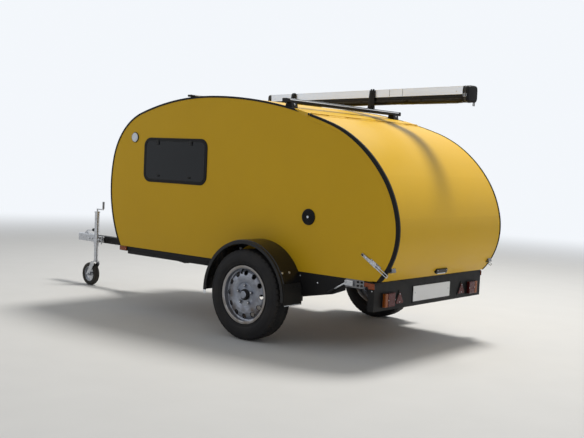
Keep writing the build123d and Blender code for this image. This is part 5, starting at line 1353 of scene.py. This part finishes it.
def cap_point(depth, turn, lift=0.0):
    """Point of an end cap at a depth in from its end, in the cap's own frame."""
    across, rise = squared(turn, CAP_SQUARE)
    inset = CAP_CORNER - math.sqrt(max(0.0, CAP_CORNER**2 - max(0.0, CAP_CORNER - depth) ** 2))
    soft = noise.noise(Vector((depth * 40.0, math.cos(turn) * 2.0, math.sin(turn) * 2.0))) * 0.0014
    half_v = AWNING_DEEP / 2 - inset + lift + soft
    half_w = AWNING_TALL / 2 - inset + lift + soft
    return Vector((depth, -AWNING_DEEP / 2 + across * half_v, -AWNING_TALL / 2 + rise * half_w))


def cap_face(share, turn):
    """Point of a cap's end face, at a share of the way from its middle to its edge."""
    middle = Vector((0, -AWNING_DEEP / 2, -AWNING_TALL / 2))
    point = middle + (cap_point(CAP_FACE, turn) - middle) * share
    point.x = CAP_FACE + 0.003 * share**2 - 0.002
    return point


def end_cap(name, place):
    """Cap of the bag with what holds it shut."""
    around = turns(BAG_STEPS)
    bm = bmesh.new()
    sections = [[place @ cap_face(share, turn) for turn in around] for share in CAP_FACE_RINGS]
    sections += [[place @ cap_point(depth, turn) for turn in around] for depth in CAP_DEPTHS]
    skin(bm, sections)
    cap = finished("awning_end_cap_" + name, bm, cloth, "trailer", CLOTH_CREASE)
    around = turns(PIPING_STEPS)
    bm = bmesh.new()
    for depth in PIPING_DEPTHS:
        line = [place @ cap_point(depth, turn, 0.0008) for turn in around]
        wire(bm, line, radius=0.0021, sides=8, looped=True)
    finished("awning_cap_piping_" + name, bm, grip_rubber, "trailer")
    bm = bmesh.new()
    bands = [[place @ cap_point(depth, turn, lift) for depth, lift in STRAP_BAND] for turn in around]
    skin(bm, bands, looped=True)
    for v in STRAP_TAIL_VS:
        skin(bm, [[place @ Vector((x + dx, v + dy, z)) for dx, dy in TAIL_CORNERS] for x, z in STRAP_TAIL])
    finished("awning_strap_" + name, bm, webbing, "trailer")
    buckle = place @ facing((0.034, 0.0020, -0.070), (0, 1, 0))
    bm = bmesh.new()
    rim_bead(bm, buckle, wide=0.030, tall=0.022, corner=0.004, radius=0.0018)
    wire(bm, [buckle @ Vector((0, y, 0.0006)) for y in (-0.011, 0.011)], radius=0.0016, sides=8)
    finished("awning_buckle_" + name, bm, zinc, "trailer")


end_cap("rear", awning)
end_cap("front", awning @ Matrix.Translation((AWNING_LONG, 0, 0)) @ Matrix.Scale(-1, 4, (1, 0, 0)))

# Awning's zip: tape, teeth with a pull, stitches

ZIP_TURN = math.radians(-27)
TAPE = ((-0.17, 0.0), (-0.17, 0.0012), (-0.03, 0.0016), (0.03, 0.0016), (0.17, 0.0012), (0.17, 0.0))
TAPE_RUNS = 236
TAPE_START, TAPE_LONG = 0.068, 2.364
TEETH = 588
TEETH_START, TEETH_PITCH = 0.072, 0.004
TOOTH_ASIDE = 0.014
PULL_ALONG = 2.40
STITCHES = 390
STITCH_START, STITCH_PITCH, STITCH_LONG = 0.075, 0.006, 0.0036
STITCH_ASIDE = 0.13


def on_zip(along, turn, lift):
    """Place on the bag that looks out of its cloth."""
    spot = bag_point(along, turn, lift)
    return facing(spot, spot - bag_point(along, turn, -0.01))


bm = bmesh.new()
zip_run = [TAPE_START + TAPE_LONG * i / TAPE_RUNS for i in range(TAPE_RUNS + 1)]
skin(bm, [[bag_point(u, ZIP_TURN + turn, lift) for turn, lift in TAPE] for u in zip_run])
finished("awning_zip_tape", bm, webbing, "trailer", CLOTH_CREASE)
bm = bmesh.new()
for i in range(TEETH):
    aside = TOOTH_ASIDE if i % 2 else -TOOTH_ASIDE
    tooth = on_zip(TEETH_START + i * TEETH_PITCH, ZIP_TURN + aside, 0.0018)
    slab(bm, tooth, rounded(0.0022, 0.0046, 0.0006, 1), depth=0.0010)
tablet(bm, on_zip(PULL_ALONG, ZIP_TURN, 0.0030), wide=0.014, tall=0.010, depth=0.0035, corner=0.003)
finished("awning_zip_teeth", bm, grip_rubber, "trailer")
bm = bmesh.new()
for turn in (ZIP_TURN - STITCH_ASIDE, ZIP_TURN + STITCH_ASIDE):
    for i in range(STITCHES):
        u = STITCH_START + i * STITCH_PITCH
        ends = [bag_point(along, turn, 0.0016) for along in (u, u + STITCH_LONG)]
        wire(bm, ends, radius=0.0004, sides=5)
finished("awning_zip_stitches", bm, cloth, "trailer")

# Awning's back plate: rails in three lengths, seams, rivets, and the holders' gussets and bolts

# Rails: height in the awning's frame, how tall, how proud
PLATE_RAILS = ((-0.0035, 0.0050, 0.0010), (-0.0440, 0.0024, 0.0008), (-0.0615, 0.0050, 0.0012))
PLATE_RUNS = ((0.060, 0.6895), (0.6905, 0.8375), (0.8385, 2.440))
PLATE_SEAMS = (0.690, 0.838)
PLATE_RIVETS = (
    (0.120, -0.040), (0.690, -0.014), (0.690, -0.050), (0.838, -0.014), (0.838, -0.050), (2.380, -0.040),
)


def on_plate(along, out, w):
    """Place on the awning's back plate that looks out."""
    return awning @ facing((along, out, w), (0, 1, 0))


bm = bmesh.new()
for w, tall, out in PLATE_RAILS:
    for start, end in PLATE_RUNS:
        rail = rounded(end - start, tall, tall * 0.3, 2)
        slab(bm, on_plate((start + end) / 2, 0, w), rail, depth=out, edge=out * 0.5)
finished("awning_plate_rails", bm, aluminium, "trailer")
seams = [on_plate(along, 0, -0.032) for along in PLATE_SEAMS]
seam = {"wide": 0.0030, "tall": 0.060, "depth": 0.0009, "corner": 0.001, "edge": 0.0003}
fixings("awning_plate_seams", tablet, grip_rubber, "trailer", seams, **seam)
heads = [on_plate(along, 0.0006, w) for along, w in PLATE_RIVETS]
fixings("awning_plate_rivets", dome_rivet, zinc, "trailer", heads, radius=0.0042, height=0.0024)
spots = []
bm = bmesh.new()
for x, _, _, top in (REAR_BAR, FRONT_BAR):
    ahead = x - AWNING_REAR[0]
    along = ahead / math.cos(AWNING_YAW)
    foot_w = top - AWNING_REAR[2]
    spots += [on_plate(along, 0.0128, w) for w in (-0.030, foot_w + 0.022)]
    half = (foot_w + 0.004) / 2
    gusset = [(-0.044, half), (0.044, half), (0.026, -half), (-0.026, -half)]
    slab(bm, on_plate(along, 0.0098, half - 0.004), gusset, depth=0.0032, edge=0.0008)
    foot_y = AWNING_REAR[1] - ahead * math.tan(AWNING_YAW) + 0.045
    spots.append(facing(at(x, foot_y, top + 0.005), (0, 0, 1)))
finished("awning_holder_gussets", bm, steel, "trailer")
fixings("awning_holder_bolts", hex_bolt, steel, "trailer", spots, across=0.011, washer=0.0095)

# Nose: coupling bolts, hand grips, jockey wheel's clamp and axle nuts

JOCKEY_Y = 0.100
JOCKEY_AXLE_X, JOCKEY_AXLE_Z = 2.915, 0.115
CLAMP_X = 2.760
CLAMP_ZS = (0.435, 0.511)
TEE_KNOB = ((0, -0.004), (0.0075, -0.003), (0.0085, 0), (0.0075, 0.003), (0, 0.004))

spots = both_sides(2.990, 0.040, 0.470) + both_sides(3.038, 0.040, 0.470)
fixings("coupling_bolts", hex_bolt, zinc, "trailer", spots, across=0.019, height=0.010, washer=0.014)
bm = bmesh.new()
crank = [at(2.745, JOCKEY_Y, z) for z in (0.791, 0.8645)]
sleeve(bm, *crank, radius=0.0112, ribs=10)
sleeve(bm, at(3.030, 0, 0.5535), at(2.994, 0, 0.5562), radius=0.0162, ribs=3, deep=0.0010)
finished("nose_hand_grips", bm, grip_rubber, "trailer")
spots = [beside(1, x, 0.045, z) for x in (2.805, 2.875) for z in (0.452, 0.494)]
fixings("jockey_clamp_bolts", hex_bolt, zinc, "trailer", spots, across=0.013, height=0.007, washer=0.0085)
spots = [facing(at(CLAMP_X, JOCKEY_Y, z), (0, 0, 1)) for z in CLAMP_ZS]
fixings("clamp_tee_knobs", turned, zinc, "trailer", spots, section=TEE_KNOB, steps=18)
nuts = [facing(at(JOCKEY_AXLE_X, JOCKEY_Y + way * 0.0440, JOCKEY_AXLE_Z), (0, way, 0)) for way in (1, -1)]
fixings("jockey_axle_nuts", hex_bolt, zinc, "jockey_caster", nuts, across=0.017, height=0.009, washer=0.012)

# Chassis: welds, skirts with the axle's hanger plates, rail bolts, axle seat bolts

RAIL_Y = 0.728
RAIL_BOLT_Z = 0.519
CROSS_XS = (-0.993, 0.140, 1.085, 1.650)
CROSS_HALF = 0.020
BEAM_X = 0.140
# Welds along the braces and the drawbar: from x, to x, from y, to y, up
DRAWBAR_WELDS = ((2.175, 2.325, 0.100, 0.0375, 0.440), (1.067, 1.103, 0.035, 0.035, 0.507))
SKIRT_Z = 0.497
SKIRTS = ((-1.010, -0.966), (0.396, 1.588))
# Hanger plate's outline: forward, up
HANGER = ((-0.345, 0.549), (-0.345, 0.372), (-0.42, 0.368), (-0.69, 0.42), (-0.80, 0.462), (-0.80, 0.549))
RAIL_BOLT = {"radius": 0.007, "height": 0.004}

bm = bmesh.new()
for x in CROSS_XS:
    for _, side in SIDES:
        for edge in (x - CROSS_HALF, x + CROSS_HALF):
            weld(bm, at(edge, side * 0.668, 0.510), at(edge, side * 0.668, 0.546))
for x in CROSS_XS[2:]:
    for edge in (x - CROSS_HALF, x + CROSS_HALF):
        weld(bm, at(edge, -0.034, 0.507), at(edge, 0.034, 0.507))
for _, side in SIDES:
    for x0, x1, y0, y1, z in DRAWBAR_WELDS:
        weld(bm, at(x0, side * y0, z), at(x1, side * y1, z))
finished("chassis_welds", bm, steel, "trailer")
bm = bmesh.new()
for _, side in SIDES:
    skin(bm, [[at(x, side * y, z) for x, z in HANGER] for y in (RAIL_Y - 0.0002, RAIL_Y + 0.0022)])
    for start, end in SKIRTS:
        skirt = rounded(end - start, 0.022, 0.002, 2)
        slab(bm, beside(side, (start + end) / 2, RAIL_Y, SKIRT_Z), skirt, depth=0.0012, edge=0.0005)
finished("rail_skirts", bm, steel, "trailer")
spots = both_sides(-0.545, 0.730, 0.484) + both_sides(-0.379, RAIL_Y, RAIL_BOLT_Z)
fixings("rail_bolts_rear", dome_rivet, zinc, "trailer", spots, **RAIL_BOLT)
spots = [place for x in (0.600, 1.250, 1.560) for place in both_sides(x, RAIL_Y, RAIL_BOLT_Z)]
fixings("rail_bolts_front", dome_rivet, steel, "trailer", spots, **RAIL_BOLT)
spots = []
for _, side in SIDES:
    for way in (-1, 1):
        start = at(BEAM_X + way * 0.242, side * 0.693, 0.492)
        spots.append(touch("axle", start, (-way, 0, 0)))
fixings("axle_seat_bolts", hex_bolt, zinc, "trailer", spots, across=0.015, height=0.009, washer=0.0095)

# Galley: screws along the counter and the bulkhead

COUNTER_YS = (-0.66, -0.23, 0.23, 0.66)
BULKHEAD_YS = (-0.66, -0.22, 0.22, 0.66)

spots = [touch("galley", at(x, y, 1.20), (0, 0, -1)) for x in (-0.420, -0.900) for y in COUNTER_YS]
spots += [touch("bulkhead", at(-0.9, y, 1.60), (1, 0, 0)) for y in BULKHEAD_YS]
fixings("galley_screws", cross_screw, zinc, "trailer", spots, radius=0.0040, height=0.0014)

# Camera

CAMERA = Vector((-5.5871, 5.8688, 1.3536))
HEADING, PITCH, ROLL = -0.8734, -0.0631, 0.0456
FOCAL_PIXELS = 903.7
PHOTO_WIDE = 584

ahead = Vector((math.cos(HEADING) * math.cos(PITCH), math.sin(HEADING) * math.cos(PITCH), math.sin(PITCH)))
level = Vector((math.sin(HEADING), -math.cos(HEADING), 0))
above = level.cross(ahead)
right = level * math.cos(ROLL) + above * math.sin(ROLL)
up = above * math.cos(ROLL) - level * math.sin(ROLL)
lens_data = bpy.data.cameras.new("viewpoint")
lens_data.sensor_width = 36.0
lens_data.lens = FOCAL_PIXELS / PHOTO_WIDE * lens_data.sensor_width
lens_data.clip_end = 200.0
camera = bpy.data.objects.new("viewpoint", lens_data)
camera.matrix_world = Matrix.Translation(CAMERA) @ Matrix((right, up, -ahead)).transposed().to_4x4()
bpy.context.scene.collection.objects.link(camera)
bpy.context.scene.camera = camera

# Studio: lamps, air and a pale floor that fades into a pale distance

DISTANCE_COLOUR = (0.90, 0.93, 0.97, 1.0)
AIR_COLOUR = (0.93, 0.96, 1.0, 1.0)
AIR_STRENGTH = 0.36
FLOOR_RADII = (40.0, 18.0, 8.0, 0.0)
FADE_FROM, FADE_TO = 6.0, 13.0


def softbox(name, place, target, size, power, colour=(1, 1, 1)):
    """Round soft lamp at a place, turned to a target."""
    lamp = bpy.data.lights.new(name, "AREA")
    lamp.shape = "DISK"
    lamp.size = size
    lamp.energy = power
    lamp.color = colour
    holder = bpy.data.objects.new(name, lamp)
    holder.location = place
    holder.rotation_euler = (Vector(target) - Vector(place)).to_track_quat("-Z", "Y").to_euler()
    bpy.context.scene.collection.objects.link(holder)


softbox("key_lamp", (-1.5, -3.0, 9.0), (0, 0, 0.9), 2.6, 820, (1.0, 0.97, 0.92))
softbox("rear_lamp", (-8.0, -1.0, 5.5), (-1, 0, 1.0), 3.0, 45)
softbox("fill_lamp", (2.0, 9.0, 5.0), (0, 0, 0.8), 4.0, 40)

world = bpy.data.worlds.new("studio_air")
bpy.context.scene.world = world
world.use_nodes = True
air = Nodes(world.node_tree)
background = air.tree.nodes["Background"]
background.inputs["Color"].default_value = AIR_COLOUR
background.inputs["Strength"].default_value = AIR_STRENGTH
soft = Shade(air, background.outputs[0])
bright = air.node("ShaderNodeBackground", {}, {"Color": DISTANCE_COLOUR, "Strength": 1.0})
air.show("World Output", air.node("ShaderNodeMixShader", {}, {0: air.seen(), 1: soft, 2: bright}))

bm = bmesh.new()
turned(bm, Matrix.Identity(4), [(radius, 0.0) for radius in FLOOR_RADII], steps=96)
mesh = bpy.data.meshes.new("pale_floor")
bm.to_mesh(mesh)
bm.free()
floor = bpy.data.objects.new("pale_floor", mesh)
bpy.context.scene.collection.objects.link(floor)
ground = Finish("pale_floor", None, (0.62, 0.62, 0.61), roughness=0.8)
x = ground.axis("X")
y = ground.axis("Y")
distance = (x * x + y * y).root()
ground.feed("Base Color", ground.mix(ground.cloud(3.0, 5.0), (0.60, 0.60, 0.59), (0.64, 0.64, 0.63)))
near = Shade(ground, ground.shader.outputs[0])
glow = ground.node("ShaderNodeEmission", {}, {"Color": DISTANCE_COLOUR})
fade = distance.ease(FADE_FROM, FADE_TO) * ground.seen()
ground.show("Material Output", ground.node("ShaderNodeMixShader", {}, {0: fade, 1: near, 2: glow}))
mesh.materials.append(ground.material)

bpy.context.scene.view_settings.view_transform = "Standard"
bpy.context.view_layer.update()
